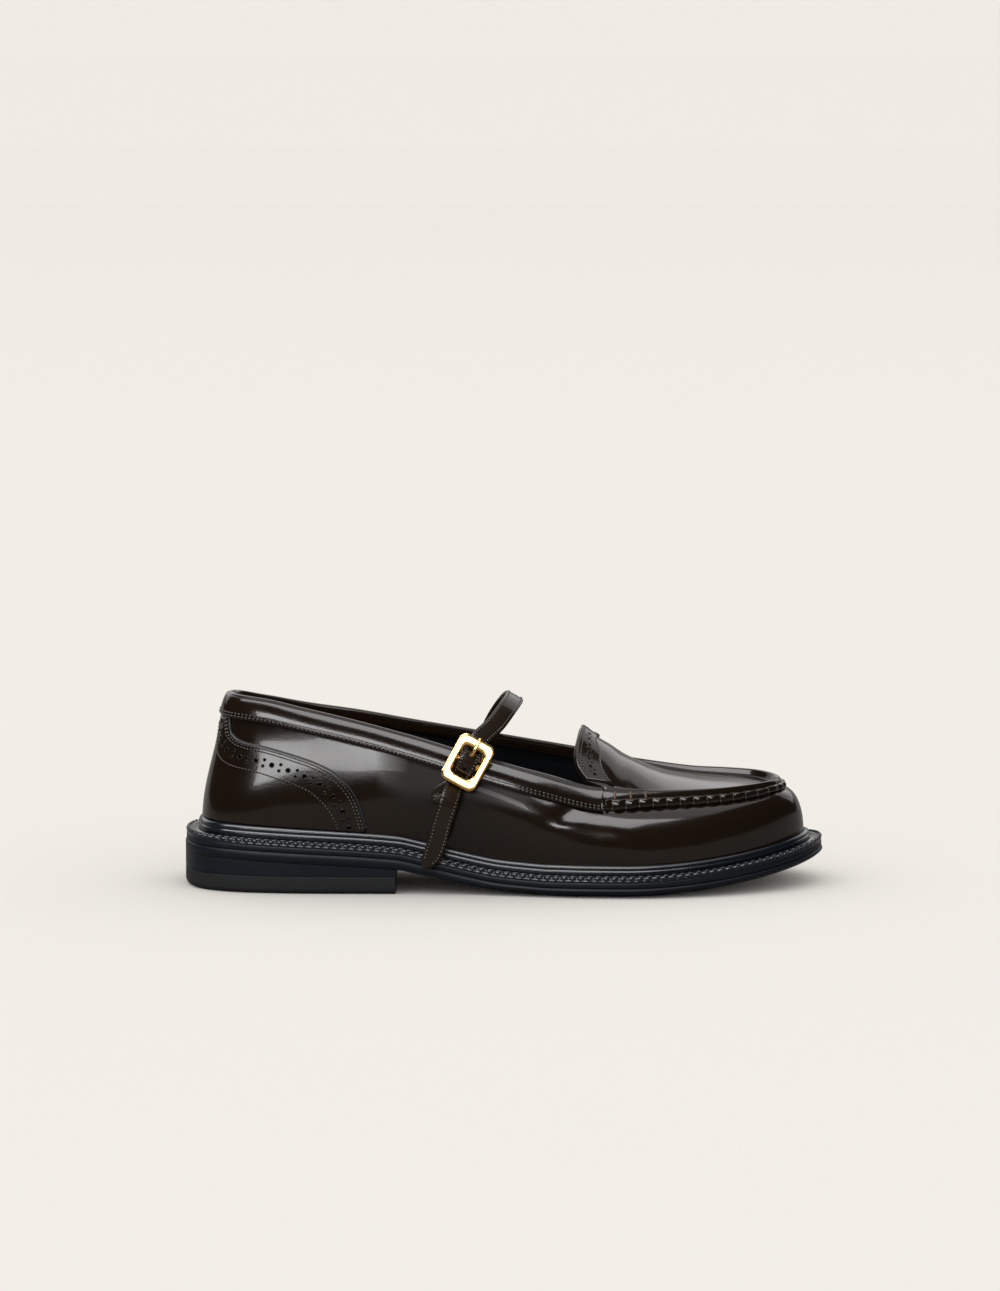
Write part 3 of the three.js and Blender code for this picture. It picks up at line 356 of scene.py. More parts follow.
def top_point(side, turn):
    side, turn = spread(side, turn)
    width = np.where(side < 0, top_line["outer"](turn), top_line["inner"](turn)) * BALL_WIDTH
    height = np.where(side < 0, top_line["z_outer"](turn), top_line["z_inner"](turn)) * TOPLINE_HEIGHT
    return stack(TOPLINE_BACK + along_at(turn) * SPAN, side * width, height)


def moved(point, out, away, up):
    flat = point[..., :2] + out * np.asarray(away)[..., None]
    return np.concatenate([flat, (point[..., 2] + up)[..., None]], axis=-1)


def edge_point(side, turn):
    away = BALL_WIDTH * top_line["edge_out"](turn)
    down = TOPLINE_HEIGHT * top_line["edge_drop"](turn)
    return moved(top_point(side, turn), outward(side, turn), away, -down)


def wall_point(side, turn, rise):
    """The upper's outer face, from its foot (0) over the edge line (0.7) to the top line (1)."""
    side, turn, rise = spread(side, turn, rise)
    out = outward(side, turn)
    top = top_point(side, turn)
    edge = edge_point(side, turn)
    bend = mix(edge, top, ROLL_LEAN)
    bend[..., 2] = mix(edge[..., 2], top[..., 2], ROLL_BEND)
    s = np.clip((rise - EDGE_SHARE) / (1 - EDGE_SHARE), 0, None)[..., None]
    upper = (1 - s) ** 2 * edge + 2 * (1 - s) * s * bend + s * s * top
    flat = inset_point(side, turn, np.full(turn.shape, FOOT_INSET))
    foot = stack(flat[..., 0], flat[..., 1], underside(flat[..., 0]) + WELT_TOP + GAP)
    height = edge[..., 2] - foot[..., 2]
    low = moved(foot, out, BALL_WIDTH * low_swell(side, turn), height * FOOT_BEND)
    high = moved(edge, out, BALL_WIDTH * top_line["high_swell"](turn), -height * top_line["drop"](turn))
    t = np.clip(rise / EDGE_SHARE, 0, 1)[..., None]
    lower = (1 - t) ** 3 * foot + 3 * (1 - t) ** 2 * t * low + 3 * (1 - t) * t * t * high + t ** 3 * edge
    return np.where((rise > EDGE_SHARE)[..., None], upper, lower)


def wall_frame(side, turn, rise):
    """Points of the wall and their outward normals."""
    step = 1e-3
    side, turn, rise = spread(side, turn, rise)
    point = wall_point(side, turn, rise)
    low, high = np.clip(turn - step, 0, 1), np.clip(turn + step, 0, 1)
    along = wall_point(side, high, rise) - wall_point(side, low, rise)
    up = wall_point(side, turn, np.clip(rise + step, 0, 1)) - wall_point(side, turn, np.clip(rise - step, 0, 1))
    normal = unit(np.cross(along, up))
    out = outward(side, turn)
    facing = (normal[..., :2] * out).sum(-1) + 0.2 * normal[..., 2]
    return point, np.where((facing < 0)[..., None], -normal, normal)


def rise_at_height(side, turn, height):
    side, turn, height = spread(side, turn, height)
    low, high = np.zeros(turn.shape), np.ones(turn.shape)
    for _ in range(22):
        middle = (low + high) / 2
        below = wall_point(side, turn, middle)[..., 2] < height
        low = np.where(below, middle, low)
        high = np.where(below, high, middle)
    return (low + high) / 2


def lip_at(x):
    return LIP_DEPTH * smoothstep(x, THROAT, THROAT + LIP_RUN_IN)


def apron_middle(x):
    along = np.clip((np.asarray(x) - THROAT) / (APRON_TIP - THROAT), 0, 1)
    return TOPLINE_HEIGHT * apron(along)


def apron_point(turn, across):
    outer, inner = top_point(-1, turn), top_point(1, turn)
    across = np.asarray(across, float)
    point = mix(outer, inner, ((across + 1) / 2)[..., None])
    crown = apron_middle(outer[..., 0]) - (outer[..., 2] + inner[..., 2]) / 2 + lip_at(outer[..., 0])
    point[..., 2] += crown * (1 - across * across) - lip_at(outer[..., 0])
    return point


def apron_height(x, y):
    """Height of the apron's plane inside its lip, at a place seen from above."""
    turn = turn_at(np.clip((x - TOPLINE_BACK) / SPAN, 0, 0.9995))
    outer, inner = top_point(-1, turn), top_point(1, turn)
    half = np.maximum((inner[..., 1] - outer[..., 1]) / 2, 1e-3)
    across = np.clip((y - (inner[..., 1] + outer[..., 1]) / 2) / half, -1, 1)
    return apron_point(turn, across)[..., 2]


def catmull(points, steps=40):
    """Centripetal curve through points, sampled evenly often between them."""
    p = np.asarray(points, float)
    p = np.vstack([2 * p[0] - p[1], p, 2 * p[-1] - p[-2]])
    out = []
    for i in range(1, len(p) - 2):
        a, b, c, d = p[i - 1], p[i], p[i + 1], p[i + 2]
        t0, t1, t2 = (max(np.linalg.norm(v) ** 0.5, 1e-4) for v in (b - a, c - b, d - c))
        m1 = ((b - a) / t0 - (c - a) / (t0 + t1) + (c - b) / t1) * t1
        m2 = ((c - b) / t1 - (d - b) / (t1 + t2) + (d - c) / t2) * t1
        t = np.linspace(0, 1, steps, endpoint=False)[:, None]
        out.append((2 * t ** 3 - 3 * t ** 2 + 1) * b + (t ** 3 - 2 * t ** 2 + t) * m1
                   + (3 * t ** 2 - 2 * t ** 3) * c + (t ** 3 - t ** 2) * m2)
    out.append(p[-2][None])
    return np.vstack(out)


def resample(columns, spacing=None, count=None):
    """Columns of matching rows, read again at even distances along the first one."""
    line = columns[0]
    lengths = np.concatenate([[0], np.cumsum(np.linalg.norm(np.diff(line, axis=0), axis=1))])
    if count is None:
        count = max(2, int(round(lengths[-1] / spacing)) + 1)
    places = np.linspace(0, lengths[-1], count)
    result = []
    for column in columns:
        column = np.asarray(column, float)
        if column.ndim == 1:
            result.append(np.interp(places, lengths, column))
        else:
            result.append(np.stack([np.interp(places, lengths, values) for values in column.T], 1))
    return result + [places]


# Mesh building
def grid_faces(rows, columns, closed_rows=False, closed_columns=False, start=0):
    r = np.arange(rows if closed_rows else rows - 1)
    c = np.arange(columns if closed_columns else columns - 1)
    r, c = np.meshgrid(r, c, indexing="ij")
    r2, c2 = (r + 1) % rows, (c + 1) % columns
    quads = np.stack([r * columns + c, r2 * columns + c, r2 * columns + c2, r * columns + c2], -1)
    return quads.reshape(-1, 4) + start


def clean_faces(faces):
    """Quads with a doubled corner become triangles, and faces with no area go."""
    kept = (list(dict.fromkeys(face)) for face in faces.tolist())
    return [face for face in kept if len(face) > 2]


def merged(points, faces, near=1e-3):
    """The first of each group of equal points, and the faces drawn between those."""
    keys = np.round(points / near).astype(np.int64)
    _, first, inverse = np.unique(keys, axis=0, return_index=True, return_inverse=True)
    return first, inverse.reshape(-1)[faces]


def tube_faces(count, around):
    """Faces round a row of rings, with a flat face on each end."""
    faces = grid_faces(count, around, closed_columns=True).tolist()
    return faces + [list(range(around))[::-1], [(count - 1) * around + k for k in range(around)]]


def repeated(faces, size, times):
    """Faces of a body with a given number of points, once for each copy."""
    return [[k + i * size for k in face] for i in range(times) for face in faces]


def vertex_normals(points, faces):
    normals = np.zeros_like(points)
    for face in (faces[:, [0, 1, 2]], faces[:, [0, 2, 3]]):
        a, b, c = (points[face[:, k]] for k in range(3))
        n = np.cross(b - a, c - a)
        for k in range(3):
            np.add.at(normals, face[:, k], n)
    return unit(normals)


def closed_sheet(outer, inner, faces):
    """Outer and inner sheets that share their faces, joined along their open edges."""
    count = len(outer)
    edges = {}
    for face in clean_faces(faces):
        for a, b in zip(face, face[1:] + face[:1]):
            edges[(a, b)] = True
    sides = [[b, a, a + count, b + count] for a, b in edges if (b, a) not in edges]
    flipped = faces[:, ::-1] + count
    return np.vstack([outer, inner]), clean_faces(faces) + clean_faces(flipped) + sides


def signed_volume(points, faces):
    corners = np.array([(f[0], f[k], f[k + 1]) for f in faces for k in range(1, len(f) - 1)])
    a, b, c = (points[corners[:, k]] for k in range(3))
    return (a * np.cross(b, c)).sum()


def add_mesh(name, points, faces, material, slot_name, replaces=()):
    """A shaded mesh object that rides on the shoe's body. Points are in millimetres."""
    points = np.asarray(points, float).copy()
    faces = faces.tolist() if isinstance(faces, np.ndarray) else faces
    if signed_volume(points, faces) < 0:
        faces = [face[::-1] for face in faces]
    points[:, 0] -= HEEL_LENGTH / 2
    mesh = bpy.data.meshes.new(name)
    mesh.from_pydata((points * MM).tolist(), [], faces)
    mesh.validate()
    mesh.materials.append(material)
    mesh.polygons.foreach_set("use_smooth", [True] * len(mesh.polygons))
    obj = bpy.data.objects.new(name, mesh)
    bpy.context.scene.collection.objects.link(obj)
    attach(obj, "root")
    if replaces:
        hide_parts(*replaces)
    return obj


def sharpen(obj, angle):
    """Edges sharper than the angle keep a crisp shade."""
    obj.data.set_sharp_from_angle(angle=math.radians(angle))


def loft(rings, closed_profile=False):
    """Points and faces of a body through rings; a closed profile makes a tube round the shoe."""
    rings = np.asarray(rings)
    count, around = rings.shape[:2]
    points = rings.reshape(-1, 3)
    faces = grid_faces(count, around, closed_rows=closed_profile, closed_columns=True).tolist()
    if not closed_profile:
        half = around // 2
        for start in (0, (count - 1) * around):
            for i in range(half):
                corners = [start + k for k in (i, i + 1, (around - i - 1) % around, (around - i) % around)]
                corners = list(dict.fromkeys(corners))
                if len(corners) > 2:
                    faces.append(corners if start else corners[::-1])
    return points, faces


def swept(centre, across, up, profile):
    """A profile of (across, up) places carried along a line."""
    profile = np.broadcast_to(profile, (len(centre),) + np.shape(profile)[-2:])
    rings = centre[:, None] + across[:, None] * profile[..., :1] + up[:, None] * profile[..., 1:]
    return rings.reshape(-1, 3), tube_faces(*rings.shape[:2])


def circle_profile(width, height, count):
    angle = np.linspace(0, 2 * np.pi, count, endpoint=False)
    return np.stack([np.cos(angle) * width / 2, np.sin(angle) * height / 2], 1)


def stitch_bodies(points, normals, along, length, width, height, lift=0.0):
    """Little rounded stitches, one at each point."""
    steps = np.array([-1, -0.72, -0.25, 0.25, 0.72, 1]) * length / 2
    fat = np.array([0.25, 0.8, 1, 1, 0.8, 0.25])
    ring = circle_profile(width, height, 6)
    n = unit(np.asarray(normals, float))
    t = unit(along - (along * n).sum(-1, keepdims=True) * n)
    b = np.cross(n, t)
    local = [np.repeat(steps, len(ring))] + [np.outer(fat, ring[:, k]).reshape(-1) for k in (0, 1)]
    verts = (points + n * lift)[:, None]
    for direction, reach in zip((t, b, n), local):
        verts = verts + direction[:, None] * reach[None, :, None]
    faces = repeated(tube_faces(len(steps), len(ring)), len(steps) * len(ring), len(points))
    return verts.reshape(-1, 3), faces


def join_parts(parts):
    points, faces, start = [], [], 0
    for p, f in parts:
        points.append(p)
        f = f.tolist() if isinstance(f, np.ndarray) else f
        faces += [[k + start for k in face] for face in f]
        start += len(p)
    return np.vstack(points), faces


def stitch_row(line, normals, spacing, length, width, height, lift=0.0, slant=0.0):
    """Stitches along a line on a surface."""
    p, n, _ = resample([line, normals], spacing=spacing)
    along, n = unit(np.gradient(p, axis=0)), unit(n)
    along = unit(along * math.cos(slant) + np.cross(n, along) * math.sin(slant))
    return stitch_bodies(p, n, along, length, width, height, lift)


def needle_row(line, normals, spacing, reach=0.5):
    """Needle holes between the stitches of a row, flush with the leather, painted near-black as their shade."""
    p, n, _ = resample([line, normals], spacing=spacing)
    along = unit(np.gradient(p, axis=0))
    p = p + along * spacing / 2
    return stitch_bodies(p[:-1], unit(n)[:-1], along[:-1], reach * 1.1, reach, 0.16)


def seam_rows(name, lines, spacing, slot_name):
    """Threads and needle holes of like seams, each line given as (points, normals)."""
    threads = [stitch_row(p, n, spacing, spacing * 0.6, 0.66, 0.9, 0.04) for p, n in lines]
    needles = [needle_row(p, n, spacing) for p, n in lines]
    add_mesh(name + "_stitches", *join_parts(threads), look("Waxed thread"), slot_name)
    add_mesh(name + "_needle_holes", *join_parts(needles), look("Painted hole shade"), slot_name)


def station_ring(back=150, front=110):
    """Sides and turns once round the shoe, from the heel over the outer side to the toe and back."""
    turns = np.concatenate([
        np.linspace(0, THROAT_TURN, back, endpoint=False),
        np.linspace(THROAT_TURN, 1, front),
    ])
    side = np.concatenate([-np.ones(len(turns)), np.ones(len(turns) - 2)])
    return side, np.concatenate([turns, turns[1:-1][::-1]])


def round_the_heel(end, count):
    """Sides and turns from an end on the inner side round the heel to the outer side."""
    turns = np.linspace(0, end, count)
    side = np.concatenate([np.ones(count), -np.ones(count - 1)])
    return side, np.concatenate([turns[::-1], turns[1:]])


def unfolded(signed):
    """Side and turn of a place counted on from the outer side (0 to 1) to the inner side (1 to 2)."""
    return np.where(signed <= 1, -1.0, 1.0), np.where(signed <= 1, signed, 2 - signed)


def even_ring(spacing):
    """Stations at even distances round the sole."""
    side, turn = station_ring(600, 600)
    flat = outline_point(side, turn)
    flat = np.vstack([flat, flat[:1]])
    lengths = np.concatenate([[0], np.cumsum(np.linalg.norm(np.diff(flat, axis=0), axis=1))])
    signed = np.concatenate([np.where(side < 0, turn, 2 - turn), [2.0]])
    count = int(lengths[-1] / spacing)
    places = np.linspace(0, lengths[-1], count, endpoint=False)
    return *unfolded(np.interp(places, lengths, signed)), places, lengths[-1]


# Node groups and materials
def node_group(name, inputs, outputs):
    """An empty shader group with named number inputs (name, default) and number outputs."""
    tree = bpy.data.node_groups.new(name, "ShaderNodeTree")
    for label, default in inputs:
        socket = tree.interface.new_socket(label, in_out="INPUT", socket_type="NodeSocketFloat")
        socket.default_value = default
    for label in outputs:
        tree.interface.new_socket(label, in_out="OUTPUT", socket_type="NodeSocketFloat")
    return tree, tree.nodes.new("NodeGroupInput").outputs, tree.nodes.new("NodeGroupOutput").inputs


def math_node(tree, operation, a, b=None):
    node = tree.nodes.new("ShaderNodeMath")
    node.operation = operation
    for socket, value in zip(node.inputs, (a, b)):
        if isinstance(value, bpy.types.NodeSocket):
            tree.links.new(value, socket)
        elif value is not None:
            socket.default_value = value
    return node.outputs[0]


def scaled_coordinates(tree, stretch=(1, 1, 1)):
    place = tree.nodes.new("ShaderNodeTexCoord")
    mapping = tree.nodes.new("ShaderNodeMapping")
    mapping.inputs["Scale"].default_value = stretch
    tree.links.new(place.outputs["Object"], mapping.inputs["Vector"])
    return mapping.outputs["Vector"]


def noise(tree, vector, scale, detail, roughness, factor=None):
    node = tree.nodes.new("ShaderNodeTexNoise")
    tree.links.new(vector, node.inputs["Vector"])
    for label, value in (("Scale", scale), ("Detail", detail), ("Roughness", roughness)):
        node.inputs[label].default_value = value
    if factor is not None:
        tree.links.new(math_node(tree, "MULTIPLY", factor, scale), node.inputs["Scale"])
    return node.outputs["Fac"]


def leather_grain_group():
    """Pores, fine creases and slow patches of polished calf leather."""
    inputs = (("Scale", 1.0), ("Pores", 0.5))
    tree, given, out = node_group("Leather grain", inputs, ("Height", "Patches", "Wax"))
    vector = scaled_coordinates(tree)
    cells = tree.nodes.new("ShaderNodeTexVoronoi")
    cells.feature = "SMOOTH_F1"
    tree.links.new(vector, cells.inputs["Vector"])
    tree.links.new(math_node(tree, "MULTIPLY", given["Scale"], 1500), cells.inputs["Scale"])
    fine = noise(tree, vector, 900, 6, 0.6, given["Scale"])
    pores = math_node(tree, "MULTIPLY", cells.outputs["Distance"], given["Pores"])
    tree.links.new(math_node(tree, "ADD", pores, fine), out["Height"])
    tree.links.new(noise(tree, vector, 28, 3, 0.5, given["Scale"]), out["Patches"])
    tree.links.new(noise(tree, vector, 130, 4, 0.6, given["Scale"]), out["Wax"])


def rubbed_group():
    """Where the strap rubs the polish dull: a soft band across the outer side, 1 in its middle."""
    inputs = (("Rear", 0.0), ("Front", 1.0), ("Lower", 0.0), ("Softness", 0.01))
    tree, given, out = node_group("Strap rub", inputs, ("Dull", "Coat"))
    place = tree.nodes.new("ShaderNodeTexCoord")
    axes = tree.nodes.new("ShaderNodeSeparateXYZ")
    tree.links.new(place.outputs["Object"], axes.inputs["Vector"])
    dull = None
    limits = (("X", given["Rear"], 1), ("X", given["Front"], -1), ("Z", given["Lower"], 1), ("Y", 0.0, -1))
    for axis, limit, sign in limits:
        gap = math_node(tree, "SUBTRACT", axes.outputs[axis], limit)
        share = math_node(tree, "MULTIPLY", math_node(tree, "DIVIDE", gap, given["Softness"]), sign)
        share = math_node(tree, "MINIMUM", math_node(tree, "MAXIMUM", share, 0), 1)
        dull = math_node(tree, "MULTIPLY", dull, share) if dull is not None else share
    tree.links.new(dull, out["Dull"])
    tree.links.new(math_node(tree, "SUBTRACT", 1, dull), out["Coat"])


def layer_lines_group():
    """Thin level lines and scuffs of a cut and waxed edge."""
    tree, given, out = node_group("Edge lines", (("Fineness", 1.0),), ("Height", "Tone"))
    level = scaled_coordinates(tree, (0.04, 0.04, 1))
    lines = noise(tree, level, 2600, 3, 0.6, given["Fineness"])
    scuffs = noise(tree, scaled_coordinates(tree), 260, 5, 0.65, given["Fineness"])
    tree.links.new(math_node(tree, "ADD", lines, math_node(tree, "MULTIPLY", scuffs, 0.4)), out["Height"])
    tree.links.new(scuffs, out["Tone"])


def shader(name):
    material = bpy.data.materials.new(name)
    material.use_nodes = True
    return material, material.node_tree, material.node_tree.nodes["Principled BSDF"]


def colour_mix(tree, factor, low, high):
    node = tree.nodes.new("ShaderNodeMix")
    node.data_type = "RGBA"
    tree.links.new(factor, node.inputs["Factor"])
    node.inputs["A"].default_value = (*low, 1)
    node.inputs["B"].default_value = (*high, 1)
    return node.outputs["Result"]


def value_range(tree, value, low, high):
    """The middle of a noise's values stretched to run from low to high."""
    node = tree.nodes.new("ShaderNodeMapRange")
    tree.links.new(value, node.inputs["Value"])
    for label, limit in (("From Min", 0.3), ("From Max", 0.7), ("To Min", low), ("To Max", high)):
        node.inputs[label].default_value = limit
    return node.outputs["Result"]


def place_group(tree, name, **values):
    node = tree.nodes.new("ShaderNodeGroup")
    node.node_tree = bpy.data.node_groups[name]
    for label, value in values.items():
        node.inputs[label].default_value = value
    return node.outputs


def bump(tree, height, strength, distance):
    node = tree.nodes.new("ShaderNodeBump")
    node.inputs["Strength"].default_value = strength
    node.inputs["Distance"].default_value = distance
    tree.links.new(height, node.inputs["Height"])
    return node.outputs["Normal"]


def finish(name, marks, tones, roughness, grain, constants):
    """A material whose colour, roughness and bump follow a group's marks.

    marks is (group, its values, its tone output, its wear output), tones the colour's two ends,
    roughness its two ends, grain the bump's strength and distance."""
    _, tree, surface = shader(name)
    group, values, tone, wear = marks
    given = place_group(tree, group, **values)
    tree.links.new(colour_mix(tree, given[tone], *tones), surface.inputs["Base Color"])
    tree.links.new(value_range(tree, given[wear], *roughness), surface.inputs["Roughness"])
    tree.links.new(bump(tree, given["Height"], *grain), surface.inputs["Normal"])
    for label, value in constants.items():
        surface.inputs[label].default_value = value
    return tree, surface


def leather_material(name, colour, roughness, coat=0.6, coat_roughness=0.08, grain=0.12, scale=1.0,
                     specular=0.3):
    marks = ("Leather grain", {"Scale": scale, "Pores": 0.5}, "Patches", "Wax")
    warmer = [min(1, c * f) for c, f in zip(colour, (1.375, 1.25, 1.0625))]
    tones = ([c * 0.8 for c in colour], warmer)
    return finish(name, marks, tones, (roughness * 0.85, roughness * 1.2), (grain, 0.0002), {
        "Specular IOR Level": specular, "Coat Weight": coat, "Coat Roughness": coat_roughness})


def dull_under_strap(tree, surface, coat):
    """Leather whose polish the strap has rubbed off in a soft band."""
    rub = place_group(tree, "Strap rub", Rear=0.036, Front=0.109, Lower=0.034, Softness=0.014)
    wax = surface.inputs["Roughness"].links[0].from_socket
    rougher = math_node(tree, "MULTIPLY", rub["Dull"], RUBBED_ROUGHNESS)
    tree.links.new(math_node(tree, "ADD", wax, rougher), surface.inputs["Roughness"])
    tree.links.new(math_node(tree, "MULTIPLY", rub["Coat"], coat), surface.inputs["Coat Weight"])


def edge_material(name, colour, roughness, coat, depth, shine=0.2):
    marks = ("Edge lines", {"Fineness": 1.0}, "Tone", "Tone")
    tones = ([c * 0.9 for c in colour], [c * 1.12 for c in colour])
    finish(name, marks, tones, (roughness * 0.85, roughness * 1.2), (depth, 0.0002), {
        "Specular IOR Level": shine, "Coat Weight": coat, "Coat Roughness": 0.2})


def metal_material(name, colour, roughness):
    marks = ("Leather grain", {"Scale": 2.0, "Pores": 0.1}, "Patches", "Wax")
    tones = ([c * 0.94 for c in colour], colour)
    finish(name, marks, tones, (roughness * 0.8, roughness * 1.3), (0.03, 0.0001), {"Metallic": 1})


def build_materials(colours):
    leather_grain_group()
    layer_lines_group()
    rubbed_group()
    upper = tuple(colours.upper)
    leather_material("Polished upper leather", upper, 0.14, coat=0.3, coat_roughness=0.04)
    side = leather_material("Upper side leather", upper, 0.14, coat=0.3, coat_roughness=0.04)
    dull_under_strap(*side, 0.3)
    leather_material("Welt thread", (0.02, 0.024, 0.028), 0.22, coat=0.4, grain=0.2, scale=2.0)
    leather_material("Strap leather", tuple(c * 1.5 for c in upper), 0.24, coat=0.2)
    leather_material("Raw leather edge", (0.012, 0.017, 0.021), 0.35, coat=0.3)
    leather_material("Lining leather", tuple(colours.lining), 0.45, coat=0.1, coat_roughness=0.3, grain=0.2)
    leather_material("Waxed thread", tuple(colours.thread), 0.3, coat=0.6, grain=0.3, scale=2.5)
    leather_material("Seam thread", tuple(colours.seam_thread), 0.45, coat=0.2, grain=0.3, scale=2.5)
    # Near-black, matte and without shine: painted shade inside the punched holes and needle holes
    leather_material("Painted hole shade", (0.0012, 0.0012, 0.0015), 0.9, coat=0.0, specular=0)
    edge_material("Waxed sole edge", tuple(colours.sole), 0.4, 0.0, 0.06)
    edge_material("Welt leather", tuple(colours.sole), 0.2, 0.4, 0.03, shine=0.5)
    edge_material("Heel rubber", tuple(colours.rubber), 0.5, 0.0, 0.05)
    metal_material("Polished gold brass", tuple(colours.buckle), 0.14)


def look(name):
    return bpy.data.materials[name]


def crease_depth(points):
    """Soft troughs and ridges laid on the upper's outer wall."""
    total = np.zeros(len(points))
    for x, height, length, width, lean, depth in CREASES:
        dx, dz = points[:, 0] - x, points[:, 2] - height
        u = (dx * math.cos(lean) + dz * math.sin(lean)) / length
        v = (dz * math.cos(lean) - dx * math.sin(lean)) / width
        total -= depth * np.exp(-u * u - v * v) * (1 - 1.2 * v * v)
    return total


def tongue_step(across, along):
    """How far the tongue has moved on from the apron's rear edge."""
    share = np.abs(across)
    hidden = 1 - TONGUE_FAR_TRIM * smoothstep(across, 0.02, 0.4)
    x = -along * (SOLE_LENGTH * tongue_reach(share) * hidden + 2 * GAP)
    z = along * (TOPLINE_HEIGHT * tongue_rise(share) * hidden + TONGUE_PEAK * (1 - share) ** 1.5)
    return stack(x, 0 * x, z)


def tongue_grid(rear, rows):
    """Rows from the tongue's free edge to the apron's rear edge, which is the last row."""
    outer, inner = top_point(-1, THROAT_TURN), top_point(1, THROAT_TURN)
    across = np.clip(2 * (rear[:, 1] - outer[1]) / (inner[1] - outer[1]) - 1, -1, 1)
    free = np.clip((0.95 - np.abs(across)) / 0.05, 0, 1)
    along = np.linspace(1, 0, rows)[:, None] * free[None]
    return rear[None] + tongue_step(np.broadcast_to(across, along.shape), along)


def upper_sheet(back, front, rows_low, rows_high, lip_columns, mid_columns, tongue_rows):
    """The outer sheet of the whole upper: points, faces, owners and which points lie on top.

    An owner is (share, side, turn): share runs from 0 at the edge line to 1 under the raised lip,
    and is -1 where the leather has no lip."""
    side, turn = station_ring(back, front)
    rises = np.concatenate([
        np.linspace(0, EDGE_SHARE, rows_low, endpoint=False),
        np.linspace(EDGE_SHARE, 1, rows_high),
    ])
    wall = wall_point(side[:, None], turn[:, None], rises[None, :])
    in_front = (turn >= THROAT_TURN - 1e-9)[:, None]
    lip_share = (rises[None] - EDGE_SHARE) / (1 - EDGE_SHARE) * 0.75
    wall_share = np.where(in_front & (rises[None] > EDGE_SHARE), lip_share, -1.0)
    sheets = [(wall, (wall_share, side[:, None], turn[:, None]))]

    turns = turn[(side < 0) & (turn >= THROAT_TURN - 1e-9)]
    reach = np.linspace(0, 1, lip_columns)
    lips = [apron_lip(s, turns, reach) for s in (-1, 1)]
    middle = np.linspace(-1, 1, mid_columns + 2)[None, 1:-1, None]
    centre = mix(lips[0][:, -1:], lips[1][:, -1:], (middle + 1) / 2)
    centre[..., 2] = apron_height(centre[..., 0], centre[..., 1])
    grid = np.concatenate([lips[0], centre, lips[1][:, ::-1]], axis=1)
    columns = grid.shape[1]
    one_lip = 0.75 + 0.25 * reach
    share = np.concatenate([one_lip, np.full(mid_columns, -1.0), one_lip[::-1]])
    sides = np.where(np.arange(columns) < columns // 2, -1.0, 1.0)
    sheets.append((grid, (share[None], sides[None], turns[:, None])))
    sheets.append((tongue_grid(grid[0], tongue_rows), (-1.0, sides[None], THROAT_TURN)))

    points, faces, owners, on_top, start = [], [], [], [], 0
    for index, (sheet, owner) in enumerate(sheets):
        shape = sheet.shape[:2]
        points.append(sheet.reshape(-1, 3))
        faces.append(grid_faces(*shape, closed_rows=index == 0, start=start))
        owners.append([np.broadcast_to(values, shape).reshape(-1) for values in owner])
        on_top.append(np.full(len(points[-1]), float(index > 0)))
        start += len(points[-1])
    points = np.vstack(points)
    keep, faces = merged(points, np.vstack(faces))
    owners = [np.concatenate(values)[keep] for values in zip(*owners)]
    return points[keep], faces, owners, np.concatenate(on_top)[keep]


def apron_lip(side, turns, reach):
    """Rows of the raised lip from the top line inwards to the apron's plane."""
    top = top_point(side, turns)
    shape = (len(turns), len(reach))
    out = np.broadcast_to(outward(side, turns)[:, None], shape + (2,))
    inwards = np.broadcast_to(-LIP_WIDTH * 1.45 * reach, shape)
    p = moved(np.broadcast_to(top[:, None], shape + (3,)), out, inwards, 0)
    crest = top[:, None, 2] - lip_at(top[:, None, 0])
    level = mix(crest, apron_height(p[..., 0], p[..., 1]), smoothstep(reach, 0.0, 0.6)[None])
    p[..., 2] = level + lip_at(p[..., 0]) * (1 - smoothstep(reach, 0.5, 0.98))[None]
    return p


def smooth_sheet(points, faces, weight, times):
    """Relaxes a sheet where weight is above zero."""
    pairs = np.vstack([faces[:, [0, 1]], faces[:, [1, 2]], faces[:, [2, 3]], faces[:, [3, 0]]])
    pairs = pairs[pairs[:, 0] != pairs[:, 1]]
    pairs = np.unique(np.sort(pairs, axis=1), axis=0)
    both = np.vstack([pairs, pairs[:, ::-1]])
    count = np.bincount(both[:, 0], minlength=len(points))[:, None]
    for _ in range(times):
        total = np.zeros_like(points)
        np.add.at(total, both[:, 0], points[both[:, 1]])
        points = points + (total / np.maximum(count, 1) - points) * weight[:, None]
    return points


def under_lip(side, turn, depth):
    top = top_point(side, turn)
    p = moved(top, outward(side, turn), np.full(turn.shape, -LIP_WIDTH * 1.5), 0)
    p[..., 2] = apron_height(p[..., 0], p[..., 1]) - depth
    return p


def sheet_inside(points, normals, owners, depth):
    """The upper's inner face at a depth below its outer one, flat under the raised lip."""
    inner = points - normals * depth
    lip = owners[0] >= 0
    share, side, turn = (values[lip] for values in owners)
    base, normal = wall_frame(side, turn, EDGE_SHARE)
    inner[lip] = mix(base - normal * depth, under_lip(side, turn, depth), np.clip(share, 0, 1)[:, None])
    return inner


